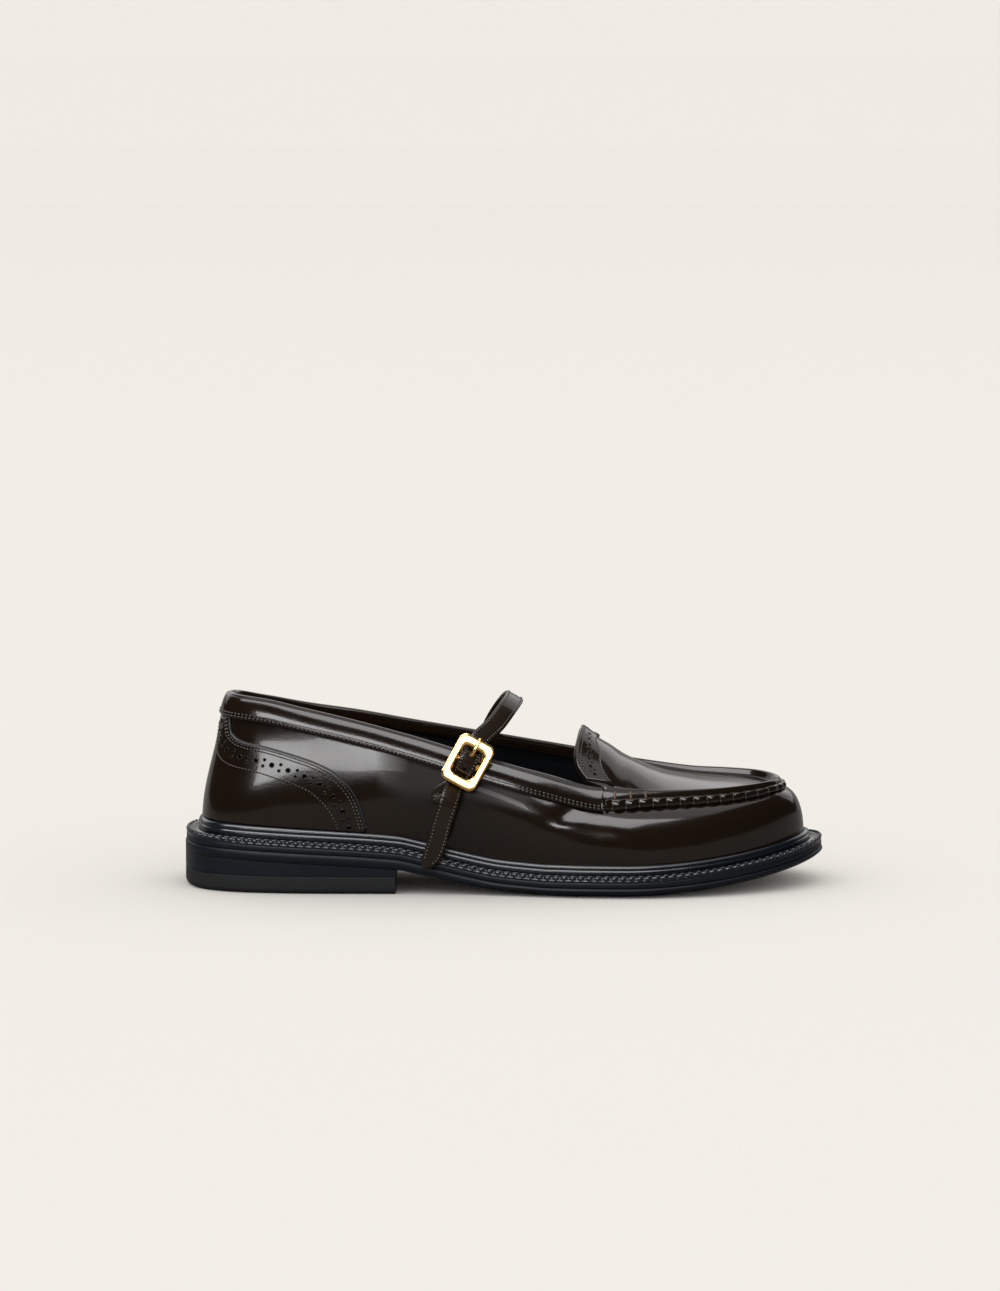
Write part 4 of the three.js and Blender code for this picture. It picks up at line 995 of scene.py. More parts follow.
def build_upper(sizes):
    points, faces, owners, on_top = upper_sheet(150, 110, 46, 26, 14, 61, 16)
    share, side, turn = owners
    lip = np.where(share > 0.55, 1.0, 0.0) * smoothstep(points[:, 0], THROAT + 1, THROAT + 6)
    points = smooth_sheet(points, faces, 0.5 * lip, 10)
    join = on_top * np.exp(-((points[:, 0] - THROAT) / 4) ** 2) * (points[:, 2] > TOPLINE_HEIGHT * 0.57)
    points = smooth_sheet(points, faces, 0.5 * join, 12)
    normals = vertex_normals(points, faces)
    if (normals[:, :2] * outward(side, turn)).sum(1)[share < 0].mean() < 0:
        faces, normals = faces[:, ::-1], -normals
    creases = crease_depth(points) * (side < 0) * sizes.crease_strength
    leather = sizes.leather_thickness / MM
    depths = (leather, leather + 0.05, WALL)
    skin, near, far = (sheet_inside(points, normals, owners, depth) for depth in depths)
    add_mesh("upper_leather", *closed_sheet(points + normals * creases[:, None], skin, faces),
             look("Upper side leather"), "upper_leather", ["upper", "tongue"])
    add_mesh("lining", *closed_sheet(near, far, faces), look("Lining leather"), "lining_leather")


def band_rings(side, turn):
    """Rings of the collar band: its wall face, rounded lower edge and roll over the top line."""
    rises = EDGE_SHARE + (1 - EDGE_SHARE) * np.array(COLLAR_RISES)
    base, normal = wall_frame(side[:, None], turn[:, None], rises[None])
    skin = GAP * 0.3 + BAND * np.array(COLLAR_SKIN)
    front = base + normal * skin[None, :, None]
    top = base[:, -1]
    out = np.concatenate([outward(side, turn), np.zeros((len(side), 1))], axis=1)
    up = np.array([0, 0, 1.0])
    centre = top - out * (WALL / 2)
    radius_out = ((front[:, -1] - centre) * out).sum(1)
    rings = []
    for angle in np.linspace(0.25, math.pi, 9):
        reach = np.where(math.cos(angle) > 0, radius_out, WALL / 2 + 0.7) * math.cos(angle)
        rings.append(centre + out * reach[:, None] + up * 1.25 * math.sin(angle))
    inner_edge = rings[-1]
    for drop, away in ((1.2, 0.024), (2.6, 0.052), (4.2, 0.084), (4.2, 0.584)):
        rings.append(inner_edge - up * drop + out * away)
    rings += [centre - up * 1.5 - out * (WALL / 2 + 0.15), centre + up * 0.15, top + up * 0.1 + out * 0.1]
    under = (base + normal * 0.08)[:, ::-1][:, ::3]
    return np.concatenate([front, np.stack(rings, 1), under], axis=1)


def build_collar(sizes):
    side, turn = round_the_heel(THROAT_TURN, 300)
    rings = band_rings(side, turn)
    add_mesh("collar_leather", rings.reshape(-1, 3), tube_faces(*rings.shape[:2]),
             look("Polished upper leather"), "upper_leather", ["collar_band"])
    lines = []
    for rise, thick in ((0.731, 1.16), (0.762, 1.1)):
        base, normal = wall_frame(side, turn, rise)
        lines.append((base + normal * (BAND * thick + GAP * 0.3), normal))
    seam_rows("collar", lines, sizes.stitch_pitch / MM, "upper_leather")


def counter_line(side, inset, count=160):
    """Points and normals of a line beside the counter's upper edge, at an inset along the leather."""
    turns = np.linspace(0.0, COUNTER_END, 700)
    middle = wall_point(-1.0, turns, 0.4)
    lengths = np.concatenate([[0], np.cumsum(np.linalg.norm(np.diff(middle, axis=0), axis=1))])
    keep = turns >= 0.075
    line = np.stack([lengths[keep], counter_edge(turns[keep]) * TOPLINE_HEIGHT], 1)
    line = resample([line], count=count * 3)[0]
    along = unit(np.gradient(line, axis=0))
    line = resample([line + np.stack([along[:, 1], -along[:, 0]], 1) * inset], count=count)[0]
    line = line[(line[:, 1] > 27) & (line[:, 0] > 0)]
    turn = np.interp(line[:, 0], lengths, turns)
    return wall_frame(side, turn, rise_at_height(side, turn, line[:, 1]))


def brogue(line, normals, spacing, step, radius, small_radius, face):
    """Large holes along a line and a pair of small ones between each two, as (points, normals, radius)."""
    p, n, _ = resample([line, normals], spacing=spacing)
    middle, middle_n = (p[1:] + p[:-1]) / 2, unit(n[1:] + n[:-1])
    across = np.cross(middle_n, unit(p[1:] - p[:-1]))
    n = unit(n)
    pairs = [(middle + across * away + middle_n * face, middle_n, small_radius) for away in (-step, step)]
    return [(p + n * face, n, radius)], pairs


def build_counter(sizes):
    side, turn = round_the_heel(COUNTER_END, 230)
    foot = wall_point(side, turn, 0)
    low = rise_at_height(side, turn, foot[:, 2] + rand_height(foot[:, 0]) + 0.2)
    top = np.minimum(counter_edge(turn) * TOPLINE_HEIGHT, edge_point(side, turn)[:, 2] - 2 * GAP)
    high = rise_at_height(side, turn, top)
    shares = np.linspace(0, 1, 120)[None]
    rise = mix(low[:, None], np.maximum(high, low + 0.01)[:, None], shares)
    base, normal = wall_frame(side[:, None], turn[:, None], rise)
    edge = np.minimum((1 - shares) * np.maximum(top - foot[:, 2], 4)[:, None], 20)
    rounded = np.sqrt(np.clip(1 - (1 - np.clip(edge / 0.8, 0, 1)) ** 2, 0, 1))
    ends = np.minimum(np.arange(len(turn)), np.arange(len(turn))[::-1])[:, None] / 3
    lift = 0.12 + (COUNTER - 0.1) * rounded * np.clip(0.1 + ends, 0, 1)
    outer, inner = ((base + normal * away).reshape(-1, 3) for away in (lift[..., None], 0.06))
    add_mesh("counter_leather", *closed_sheet(outer, inner, grid_faces(*rise.shape)),
             look("Polished upper leather"), "upper_leather", ["counter"])

    lines, large, small, edges = [], [], [], []
    radius, pitch = sizes.punch_radius / MM, sizes.punch_pitch / MM
    for s in (-1.0, 1.0):
        for inset in (1.2, 2.3, 10.2):
            p, n = counter_line(s, inset)
            lines.append((p + n * COUNTER_FACE, n))
        one, pair = brogue(*counter_line(s, 6.1), pitch, 1.35, radius, radius * 0.55, COUNTER_FACE)
        large += one
        small += pair
        p, n = counter_line(s, 0.1)
        across = unit(np.cross(n, unit(np.gradient(p, axis=0))))
        edges.append(swept(p + n * COUNTER * 0.6, across, n, circle_profile(0.64, 1.0, 8)))
    seam_rows("counter", lines, sizes.stitch_pitch / MM * 0.85, "upper_leather")
    add_mesh("counter_raw_edge", *join_parts(edges), look("Raw leather edge"), "upper_leather")
    punched("counter", large + small, "upper_leather")


def hole_loops(points, normals, rings):
    """Rings about each point, given as (radius, lift): points, and how many holes, rings and corners."""
    angle = np.linspace(0, 2 * np.pi, 14, endpoint=False)[None, :, None]
    n = unit(normals)
    helper = np.where(np.abs(n[:, 2:3]) > 0.8, [[1.0, 0, 0]], [[0, 0, 1.0]])
    u = unit(np.cross(helper, n))
    circle = u[:, None] * np.cos(angle) + np.cross(n, u)[:, None] * np.sin(angle)
    loops = np.stack([points[:, None] + circle * radius + n[:, None] * lift for radius, lift in rings], 1)
    return loops.reshape(-1, 3), loops.shape[:3]


def hole_disc(points, normals, radius):
    """A thin near-black disc in each hole, flush with the leather: painted shade standing in for the hole's
    depth.
    """
    loops, (count, rings, sides) = hole_loops(points, normals, ((radius, -0.05), (radius, 0.05)))
    return loops, repeated(tube_faces(rings, sides), rings * sides, count)


def hole_rim(points, normals, radius):
    """The pressed-up rim of leather round each hole."""
    rim = [(radius + 0.14 + 0.18 * math.cos(a), 0.17 * math.sin(a)) for a in np.linspace(0, 2 * np.pi, 7)[:-1]]
    loops, (count, rings, sides) = hole_loops(points, normals, rim)
    faces = grid_faces(rings, sides, closed_rows=True, closed_columns=True).tolist()
    return loops, repeated(faces, rings * sides, count)


def punched(name, holes, slot_name):
    """Holes given as (points, normals, radius): near-black insides of painted shade, and raised rims."""
    insides, rims = ([make(*hole) for hole in holes] for make in (hole_disc, hole_rim))
    add_mesh(name + "_holes", *join_parts(insides), look("Painted hole shade"), slot_name)
    add_mesh(name + "_hole_rims", *join_parts(rims), look("Polished upper leather"), slot_name)


def build_moc_seam(sizes):
    """The puckered seam under the apron's raised edge, with its wrap stitches."""
    turns = np.linspace(THROAT_TURN + 2 * GAP / SPAN, 1, 1500)
    signed = np.concatenate([turns, 2 - turns[:-1][::-1]])
    _, signed, places = resample([edge_point(*unfolded(signed)), signed], spacing=0.32)
    side, turn = unfolded(signed)
    pitch = sizes.pucker_pitch / MM
    shares = np.linspace(0, 1, 22)[None]
    rise = EDGE_SHARE + (1 - EDGE_SHARE) * SEAM_SHARE * shares
    base, normal = wall_frame(side[:, None], turn[:, None], rise)
    lobes = (np.clip(0.5 + 0.5 * np.cos(places / pitch * 2 * np.pi), 0, 1) ** 0.55)[:, None]
    across = np.sin(np.pi * shares) ** 0.6
    bulge = SEAM * (0.35 + 0.75 * lobes * (0.4 + 0.6 * across))
    bulge = bulge * np.clip(np.minimum(shares, 1 - shares) * 5 + 0.15, 0, 1)
    outer = base + normal * bulge[..., None]
    outer[..., 2] -= 0.35 * lobes * (1 - shares)
    inner = base + normal * 0.05
    points, faces = closed_sheet(outer.reshape(-1, 3), inner.reshape(-1, 3), grid_faces(*bulge.shape))
    add_mesh("moc_seam_leather", points, faces, look("Polished upper leather"), "upper_leather", ["moc_seam"])

    s, t = unfolded(np.interp(np.arange(pitch / 2, places[-1], pitch), places, signed))
    threads = []
    for rise, size in ((0.735, 1.3), (0.8, 1.5)):
        p, n = wall_frame(s, t, rise)
        along = unit(wall_point(s, t, rise + 0.02) - p)
        threads.append(stitch_bodies(p + n * (SEAM * 0.42), n, along, size, 0.5, 0.5))
    add_mesh("moc_seam_stitches", *join_parts(threads), look("Waxed thread"), "upper_leather")
    wraps = []
    for s in (-1.0, 1.0):
        for x in WRAP_PLACES:
            p, n = wall_frame(s, turn_at((x - TOPLINE_BACK) / SPAN), np.array([0.865, 0.9, 0.935, 0.97]))
            wraps.append(stitch_bodies((p[:-1] + p[1:]) / 2, n[:-1], unit(p[1:] - p[:-1]), 2.1, 1.15, 0.9))
    add_mesh("moc_seam_wraps", *join_parts(wraps), look("Seam thread"), "upper_leather")


def tongue_surface(across, distance):
    """Places on the tongue and apron at a distance forward of the tongue's free edge."""
    rear = apron_point(np.full(np.shape(across), THROAT_TURN), across)
    full = tongue_step(across, np.ones(len(across)))
    length = np.maximum(np.linalg.norm(full, axis=1), 1)
    along = 1 - distance / length
    on_tongue = rear + tongue_step(across, np.clip(along, 0, 1))
    x = THROAT + np.clip(-along, 0, None) * length
    beyond = apron_point(turn_at((x - TOPLINE_BACK) / SPAN), across)
    return np.where((along >= 0)[:, None], on_tongue, beyond)


def build_tongue():
    """Punched strip along the tongue's free edge."""
    across = np.linspace(-0.9, 0.9, 181)
    rows, columns = 34, len(across)
    width = STRIP_WIDTH * (1 + 0.42 * smoothstep(-across, 0.12, 0.5) - 0.25 * smoothstep(across, 0, 0.2))
    grid = np.concatenate([tongue_surface(across, step * width) for step in np.linspace(0, 1, rows)])
    faces = grid_faces(rows, columns)
    grid = smooth_sheet(grid, faces, np.full(len(grid), 0.4), 3)
    normals = vertex_normals(grid, faces)
    normals = normals * np.sign(normals[:, 2].mean())
    to_edge = (np.minimum(np.arange(count), np.arange(count)[::-1]) for count in (rows, columns))
    rounded = np.clip(0.3 + np.minimum.outer(*to_edge) / 2.5, 0, 1).reshape(-1, 1)
    outer = grid + normals * (0.08 + STRIP * 0.8 * rounded)
    add_mesh("tongue_strip_leather", *closed_sheet(outer, grid + normals * 0.06, faces),
             look("Polished upper leather"), "upper_leather", ["tongue_strip"])
    sheet, sheet_n = grid.reshape(rows, columns, 3), normals.reshape(rows, columns, 3)
    lines = []
    for row in (3.5, 7.0, rows - 4.0):
        i = int(row)
        n = sheet_n[i][4:-4]
        lines.append((mix(sheet[i], sheet[i + 1], row - i)[4:-4] + n * STRIP_FACE, n))
    seam_rows("tongue_strip", lines, 1.5, "upper_leather")
    middle = rows // 2
    large, small = brogue(sheet[middle][8:-8], sheet_n[middle][8:-8], 4.6, 0.95, 0.62, 0.34, STRIP_FACE)
    punched("tongue_strip", large + small, "upper_leather")


def edge_share(x):
    return smoothstep(x, HEEL_LENGTH, FLAT_START)


def sole_ring(side, turn, inset, lift, slope=1.0, rise=0.0):
    """A ring at an inset from the sole's edge, lifted from the underside; with slope 0 it is level."""
    flat = inset_point(side, turn, np.broadcast_to(inset, turn.shape))
    x = flat[:, 0]
    return stack(x, flat[:, 1], slope * underside(x) + lift + rise * EDGE_RISE * edge_share(x))


def build_welt(sizes):
    """Welt with a wheeled upper edge and a row of slanted stitches."""
    side, turn, places, total = even_ring(0.42)
    pitch = total / round(total / (sizes.wheel_pitch / MM))
    groove = 1 - np.clip(0.5 + 0.5 * np.cos(places / pitch * 2 * np.pi), 0, 1) ** 0.6
    rows = [(WELT_SETBACK, WELT_BASE - 0.05)]
    for inset, up, cut_in, cut_down in WELT_EDGE:
        rows.append((WELT_SETBACK + inset + cut_in * groove, WELT_TOP + up - cut_down * groove))
    rows += [(WELT_MARGIN + 0.5, WELT_TOP), (WELT_INNER, WELT_TOP), (WELT_INNER, WELT_BASE - 0.05)]
    rings = [sole_ring(side, turn, *row) for row in rows]
    add_mesh("welt_edge", *loft(rings, True), look("Welt leather"), "sole_leather", ["welt"])
    line = sole_ring(side, turn, WELT_SETBACK + 0.75, WELT_TOP + 0.1)
    line = np.vstack([line, line[:1]])
    up = np.tile([0.0, 0, 1], (len(line), 1))
    stitches = stitch_row(line, up, sizes.welt_stitch_pitch / MM, 2.4, 1.0, 0.95, 0.05, slant=0.3)
    add_mesh("welt_stitches", *stitches, look("Welt thread"), "sole_leather")


def build_rand():
    """Double rolled rand where the upper meets the welt."""
    side, turn, _, _ = even_ring(0.9)
    foot = wall_point(side, turn, 0)
    out = outward(side, turn)
    rings = []
    for level, width in RAND_ROLL:
        point = wall_point(side, turn, rise_at_height(side, turn, foot[:, 2] + level * rand_height(foot[:, 0])))
        x, y = (point[:, :2] + out * (GAP * 0.7 + width * RAND_WIDTH)).T
        rings.append(stack(x, y, underside(x) + WELT_TOP + GAP * 0.2 + level * rand_height(x)))
    add_mesh("rand_roll", *loft(rings, True), look("Welt leather"), "sole_leather", ["rand"])


def build_sole():
    """Midsole, outsole and the sock lining on the insole."""
    side, turn, _, _ = even_ring(1.6)
    rings = [sole_ring(side, turn, WELT_SETBACK + inset, OUTSOLE + lift) for inset, lift in MIDSOLE_EDGE]
    add_mesh("midsole_edge", *loft(rings), look("Waxed sole edge"), "sole_leather", ["midsole"])
    rings = [sole_ring(side, turn, inset, lift, rise=rise) for inset, lift, rise in OUTSOLE_EDGE]
    add_mesh("outsole_tread", *loft(rings), look("Waxed sole edge"), "sole_leather", ["outsole"])
    turns, across = np.linspace(0.002, 0.998, 160), np.linspace(0, 1, 15)
    left, right = (sole_ring(np.full(len(turns), s), turns, SOCK_INSET, 0) for s in (-1.0, 1.0))
    top = mix(left[:, None], right[:, None], across[None, :, None]).reshape(-1, 3)
    top[:, 2] = underside(top[:, 0]) + WELT_TOP + GAP + INSOLE
    faces = grid_faces(len(turns), len(across))
    add_mesh("sock_lining", *closed_sheet(top, top - np.array([0, 0, INSOLE]), faces), look("Lining leather"),
             "lining_leather", ["insole"])


def build_heel(sizes):
    turns = np.linspace(0, BREAST_TURN, 90)
    side, turn = unfolded(np.concatenate([turns, 2 - turns[1:][::-1]]))
    rings = []
    layers = max(1, sizes.heel_layers)
    for layer in range(layers):
        a, b = layer / layers, (layer + 1) / layers
        for share, inset in ((a, 0.22), (a + 0.03, 0.02), (a + 0.3 / layers, 0.0),
                             (b - 0.3 / layers, 0.0), (b - 0.03, 0.02), (b, 0.22)):
            lift = mix(TOP_LIFT + HEEL_JOINT, -HEEL_JOINT, share)
            rings.append(sole_ring(side, turn, inset, lift, slope=share))
    heel = add_mesh("heel_layers", *loft(rings), look("Waxed sole edge"), "sole_leather", ["heel_stack"])
    edge = [(HEEL_CORNER + 3, 0)]
    for angle in np.linspace(0, math.pi / 2, 7):
        edge.append((HEEL_CORNER * 0.94 * (1 - math.sin(angle)), HEEL_CORNER * (1 - math.cos(angle))))
    edge += [(0, TOP_LIFT - 0.25), (0.3, TOP_LIFT)]
    rings = [sole_ring(side, turn, inset, height, slope=0) for inset, height in edge]
    top_piece = add_mesh("heel_top_piece", *loft(rings), look("Heel rubber"), "heel_rubber", ["heel_top_lift"])
    sharpen(heel, 40)
    sharpen(top_piece, 50)


# The buckle's own axes: across the strap, up along it, out of the shoe
def buckle_axes():
    lean, tilt = math.radians(BUCKLE_LEAN), math.radians(BUCKLE_TILT)
    across = np.array([math.cos(lean), 0, -math.sin(lean)])
    up = np.array([math.sin(lean) * math.cos(tilt), math.sin(tilt), math.cos(lean) * math.cos(tilt)])
    out = np.cross(across, up)
    turn = turn_at((BUCKLE_PLACE - TOPLINE_BACK) / SPAN)
    seat = edge_point(np.array(-1.0), np.array(turn))[1] - BUCKLE_OUT
    return across, up, out, np.array([BUCKLE_PLACE, float(seat), BUCKLE_HEIGHT])


AXIS_ACROSS, AXIS_UP, AXIS_OUT, BUCKLE_MIDDLE = buckle_axes()


def on_buckle(across, up, out):
    place = [np.asarray(v, float)[..., None] for v in (across, up, out)]
    return BUCKLE_MIDDLE + place[0] * AXIS_ACROSS + place[1] * AXIS_UP + place[2] * AXIS_OUT


BAR_BACK = max(-CENTRE_SETBACK - CENTRE_DEPTH / 2, -BUCKLE / 2 + 0.1)
BAR_FRONT = -CENTRE_SETBACK + CENTRE_DEPTH / 2
STRAP_BEHIND = -(BUCKLE / 2 + 2 * GAP + STRAP / 2)
STRAP_OVER = CENTRE_DEPTH / 2 - CENTRE_SETBACK + 3 * GAP + TAB + STRAP / 2


def strap_seat(x, below, away):
    turn = turn_at((x - TOPLINE_BACK) / SPAN)
    one = np.array(1.0)
    top = top_point(one, turn)
    rise = rise_at_height(one, turn, top[2] - below)
    return moved(wall_point(one, turn, rise), outward(one, turn), np.array(away), 0)


def strap_path():
    on_band = BAND + 4 * GAP + STRAP / 2
    inside = BUCKLE_LENGTH / 2 - END_BAR - GAP
    outside = BUCKLE_LENGTH / 2 + GAP
    half_way = (STRAP_BEHIND + STRAP_OVER) / 2 + 2 * GAP
    points = [
        strap_seat(SOLE_LENGTH * 0.45 + FAR_SHIFT, TOPLINE_HEIGHT * 0.19, 2 * GAP + STRAP / 2),
        strap_seat(SOLE_LENGTH * 0.456 + FAR_SHIFT, TOPLINE_HEIGHT * 0.13, on_band),
        strap_seat(SOLE_LENGTH * 0.464 + FAR_SHIFT, TOPLINE_HEIGHT * 0.03, on_band + 2 * GAP),
    ]
    for a, b, c in STRAP_ROWS:
        shift = FAR_SHIFT * smoothstep(b, 0.0, 0.28)
        points.append(np.array([a * SOLE_LENGTH + shift, b * BALL_WIDTH, c * TOPLINE_HEIGHT]))
    for up, out in ((outside, STRAP_BEHIND), (inside, STRAP_BEHIND), (inside / 2, half_way),
                    (0, STRAP_OVER + GAP),
                    (-inside / 2, half_way), (-inside, STRAP_BEHIND), (-outside, STRAP_BEHIND)):
        points.append(on_buckle(0, up, out))
    for along, away, height in TAIL_ROWS:
        edge = outline_point(-1.0, turn_at(along))
        points.append(np.array([edge[0], edge[1] - away, height * TOPLINE_HEIGHT]))
    return catmull(points)


def ribbon_frame(path, facing=1):
    """Even places of a strap's middle with its directions along, across and out, and their distances."""
    middle, places = resample([path], spacing=0.4)
    along = unit(np.gradient(middle, axis=0))
    side = unit(AXIS_ACROSS - along * (along @ AXIS_ACROSS)[:, None])
    return middle, along, side, unit(np.cross(side, along)) * facing, places


def ribbon_body(middle, side, out, widths, thickness, dome=0.12):
    """A leather strap with rounded edges and a slightly domed face."""
    corner = thickness * 0.4
    profile = []
    for face in (1, -1):
        for angle in np.linspace(-math.pi / 2, math.pi / 2, 7):
            profile.append((face, face * math.cos(angle) * corner, face * math.sin(angle) * thickness / 2))
        for share in (0.66, 0.33, 0.0, -0.33, -0.66):
            bulge = dome * (1 - share * share) if face > 0 else -0.02
            profile.append((share * face, 0.0, face * thickness / 2 + bulge))
    share, away, up = np.array(profile).T
    across = share * (widths[:, None] / 2 - corner) + away
    rings = middle[:, None] + side[:, None] * across[..., None] + out[:, None] * up[None, :, None]
    return rings.reshape(-1, 3), tube_faces(*rings.shape[:2])


def build_strap(sizes):
    middle, _, side, out, places = ribbon_frame(strap_path(), facing=-1)
    left = places[-1] - places
    point = np.sqrt(np.clip(1 - (1 - np.clip(left / STRAP_TIP, 0, 1)) ** 1.7, 0, 1))
    widths = STRAP_WIDTH * np.minimum(1, 0.06 + 0.94 * point)
    add_mesh("strap_leather", *ribbon_body(middle, side, out, widths, STRAP), look("Strap leather"),
             "strap_leather", ["strap"])
    face = middle + out * (STRAP / 2 + 0.05)
    keep = left > 4
    lines = [((face + side * (sign * (widths / 2 - 1.15))[:, None])[keep], out[keep]) for sign in (-1, 1)]
    seam_rows("strap", lines, sizes.stitch_pitch / MM * 0.85, "strap_leather")
    height = (middle - BUCKLE_MIDDLE) @ AXIS_UP
    near = np.linalg.norm(middle - BUCKLE_MIDDLE, axis=1) < 60
    holes = [np.argmin(np.where(near, np.abs(height - step), np.inf)) for step in (-7.5, -2.4, 2.7)]
    punched("strap", [(face[holes] + out[holes] * 0.1, out[holes], 0.8)], "strap_leather")


def tab_path():
    back = -CENTRE_SETBACK - CENTRE_DEPTH / 2 - GAP - TAB / 2
    front = -CENTRE_SETBACK + CENTRE_DEPTH / 2 + GAP + TAB / 2
    fold = CENTRE_BAR / 2 + 2 * GAP + TAB / 2
    joined = -fold - 2 * TAB
    place = BUCKLE_PLACE - TAB_LENGTH
    turn = turn_at((place - TOPLINE_BACK) / SPAN)
    side = np.array(-1.0)
    rise = rise_at_height(side, turn, BUCKLE_HEIGHT - TAB_LENGTH * TAB_DROP)
    tack = wall_point(side, turn, rise)
    seated = moved(tack, outward(side, turn), np.array(3 * GAP + TAB / 2), 0)
    behind = STRAP_BEHIND - STRAP / 2 - 2 * GAP - TAB / 2
    under = on_buckle(0, -BUCKLE_LENGTH / 2, behind - GAP)
    half = (seated + under) / 2 + np.array([0, -2 * GAP, 0])
    rest = (
        (END_BAR - BUCKLE_LENGTH / 2, behind), (joined - TAB, back - 2 * GAP), (0, back), (fold - GAP, back),
        (fold + GAP, (back + front) / 2), (fold - GAP, front), (0, front), (-fold, front - 2 * GAP),
        (joined, back + TAB),
    )
    return catmull([seated, half, under] + [on_buckle(0, up, out) for up, out in rest])


def build_tab():
    middle, along, side, out, places = ribbon_frame(tab_path())
    widths = TAB_WIDTH * np.minimum(1, 0.45 + 0.55 * np.clip(places / 4, 0, 1))
    add_mesh("buckle_tab_leather", *ribbon_body(middle, side, out, widths, TAB, 0.05), look("Strap leather"),
             "strap_leather", ["buckle_tab"])
    place = 8
    angles = np.arange(0, math.pi, math.pi / 4)[:, None]
    spokes = side[place] * np.cos(angles) + along[place] * np.sin(angles)
    n = np.tile(out[place], (len(spokes), 1))
    add_mesh("buckle_tab_tack", *stitch_bodies(middle[place] + n * (TAB / 2 + 0.15), n, spokes, 4.6, 0.8, 0.8),
             look("Waxed thread"), "strap_leather")


def rounded_loop(width, length, radius, level, count=10, steps=12):
    """A ring on the buckle round a rectangle with round corners, with as many points for every size."""
    x, y = width / 2 - radius, length / 2 - radius
    corners = []
    for cx, cy, start in ((x, -y, -90), (x, y, 0), (-x, y, 90), (-x, -y, 180)):
        for angle in np.radians(np.linspace(start, start + 90, count)):
            corners.append(np.array([cx + radius * math.cos(angle), cy + radius * math.sin(angle)]))
    places = []
    for i, (a, b) in enumerate(zip(corners, corners[1:] + corners[:1])):
        parts = steps if (i + 1) % count == 0 else 1
        places += [mix(a, b, k / parts) for k in range(parts)]
    x, y = np.array(places).T
    return on_buckle(x, y, np.full(len(x), level))


def build_buckle():
    hole_width, hole_length = BUCKLE_WIDTH - 2 * SIDE_BAR, BUCKLE_LENGTH - 2 * END_BAR
    rings = [rounded_loop(BUCKLE_WIDTH - 2 * inset, BUCKLE_LENGTH - 2 * inset, BUCKLE_CORNER - inset, level)
             for inset, level in BUCKLE_OUTER]
    rings += [rounded_loop(hole_width - 2 * inset, hole_length - 2 * inset, 2.6 - inset, level)
              for inset, level in BUCKLE_INNER]
    reach = hole_width / 2 + SIDE_BAR / 2
    ends = on_buckle(np.array([-reach, reach]), np.zeros(2), np.full(2, (BAR_FRONT + BAR_BACK) / 2))
    bar = swept(ends, np.tile(AXIS_UP, (2, 1)), np.tile(AXIS_OUT, (2, 1)),
                circle_profile(CENTRE_BAR, BAR_FRONT - BAR_BACK, 16))
    frame_piece = add_mesh("buckle_frame_metal", *join_parts([loft(rings, True), bar]),
                           look("Polished gold brass"), "polished_brass", ["buckle_frame"])
    sharpen(frame_piece, 50)


def build_prong():
    middle = (BAR_FRONT + BAR_BACK) / 2
    rest = BUCKLE / 2 + GAP + PRONG_DEPTH / 2
    tip, inside = BUCKLE_LENGTH / 2 + 2 * GAP, BUCKLE_LENGTH / 2 - END_BAR
    ring_up, ring_out = (size / 2 + GAP + PRONG_DEPTH / 2 for size in (CENTRE_BAR, BAR_FRONT - BAR_BACK))
    angle = np.linspace(0, 2 * np.pi, 25)
    loop = on_buckle(np.zeros(25), ring_up * np.cos(angle), middle + ring_out * np.sin(angle))
    rod = catmull([on_buckle(0, up, out) for up, out in (
        (ring_up * 0.7, middle + ring_out * 0.6), (inside * 0.5, rest * 0.75), (inside - 0.6, rest + 0.1),
        (inside + 1.2, rest + 0.05), (tip - 0.9, rest), (tip, rest - 0.25))], 12)
    taper = np.minimum(1, 1 - 3.5 * (np.linspace(0, 1, len(rod)) - 0.9))
    parts = []
    for line, fat in ((loop, np.ones(len(loop))), (rod, taper)):
        across = np.tile(AXIS_ACROSS, (len(line), 1))
        up = unit(np.cross(across, unit(np.gradient(line, axis=0))))
        profile = circle_profile(PRONG_WIDTH, PRONG_DEPTH, 14)[None] * fat[:, None, None]
        parts.append(swept(line, across, up, profile))
    add_mesh("buckle_prong_metal", *join_parts(parts), look("Polished gold brass"),
             "polished_brass", ["buckle_prong"])


# Stage: floor, backdrop, lights and camera
def toward(azimuth, elevation, distance):
    """A place seen from the shoe's middle; azimuth 0 is the camera's side and 90 the toe's."""
    a, e = math.radians(azimuth), math.radians(elevation)
    return SHOE_MIDDLE + Vector((math.sin(a) * math.cos(e), -math.cos(a) * math.cos(e), math.sin(e))) * distance


def soft_box(name, azimuth, elevation, width, height, brightness, receivers, colour=(1, 1, 1)):
    """A rectangular light; width and height are angles in degrees seen from the shoe."""
    data = bpy.data.lights.new(name, "AREA")
    data.shape = "RECTANGLE"
    data.size = 2 * LIGHT_DISTANCE * math.tan(math.radians(width / 2))
    data.size_y = 2 * LIGHT_DISTANCE * math.tan(math.radians(height / 2))
    data.energy = brightness * math.pi * data.size * data.size_y
    data.color = colour
    obj = bpy.data.objects.new(name, data)
    bpy.context.scene.collection.objects.link(obj)
    obj.location = toward(azimuth, elevation, LIGHT_DISTANCE)
    obj.rotation_euler = (SHOE_MIDDLE - obj.location).to_track_quat("-Z", "Y").to_euler()
    obj.light_linking.receiver_collection = receivers


def light_group(name, chosen):
    """A collection that only tells the lights which pieces they reach."""
    group = bpy.data.collections.new(name)
    for obj in chosen:
        group.objects.link(obj)
    return group


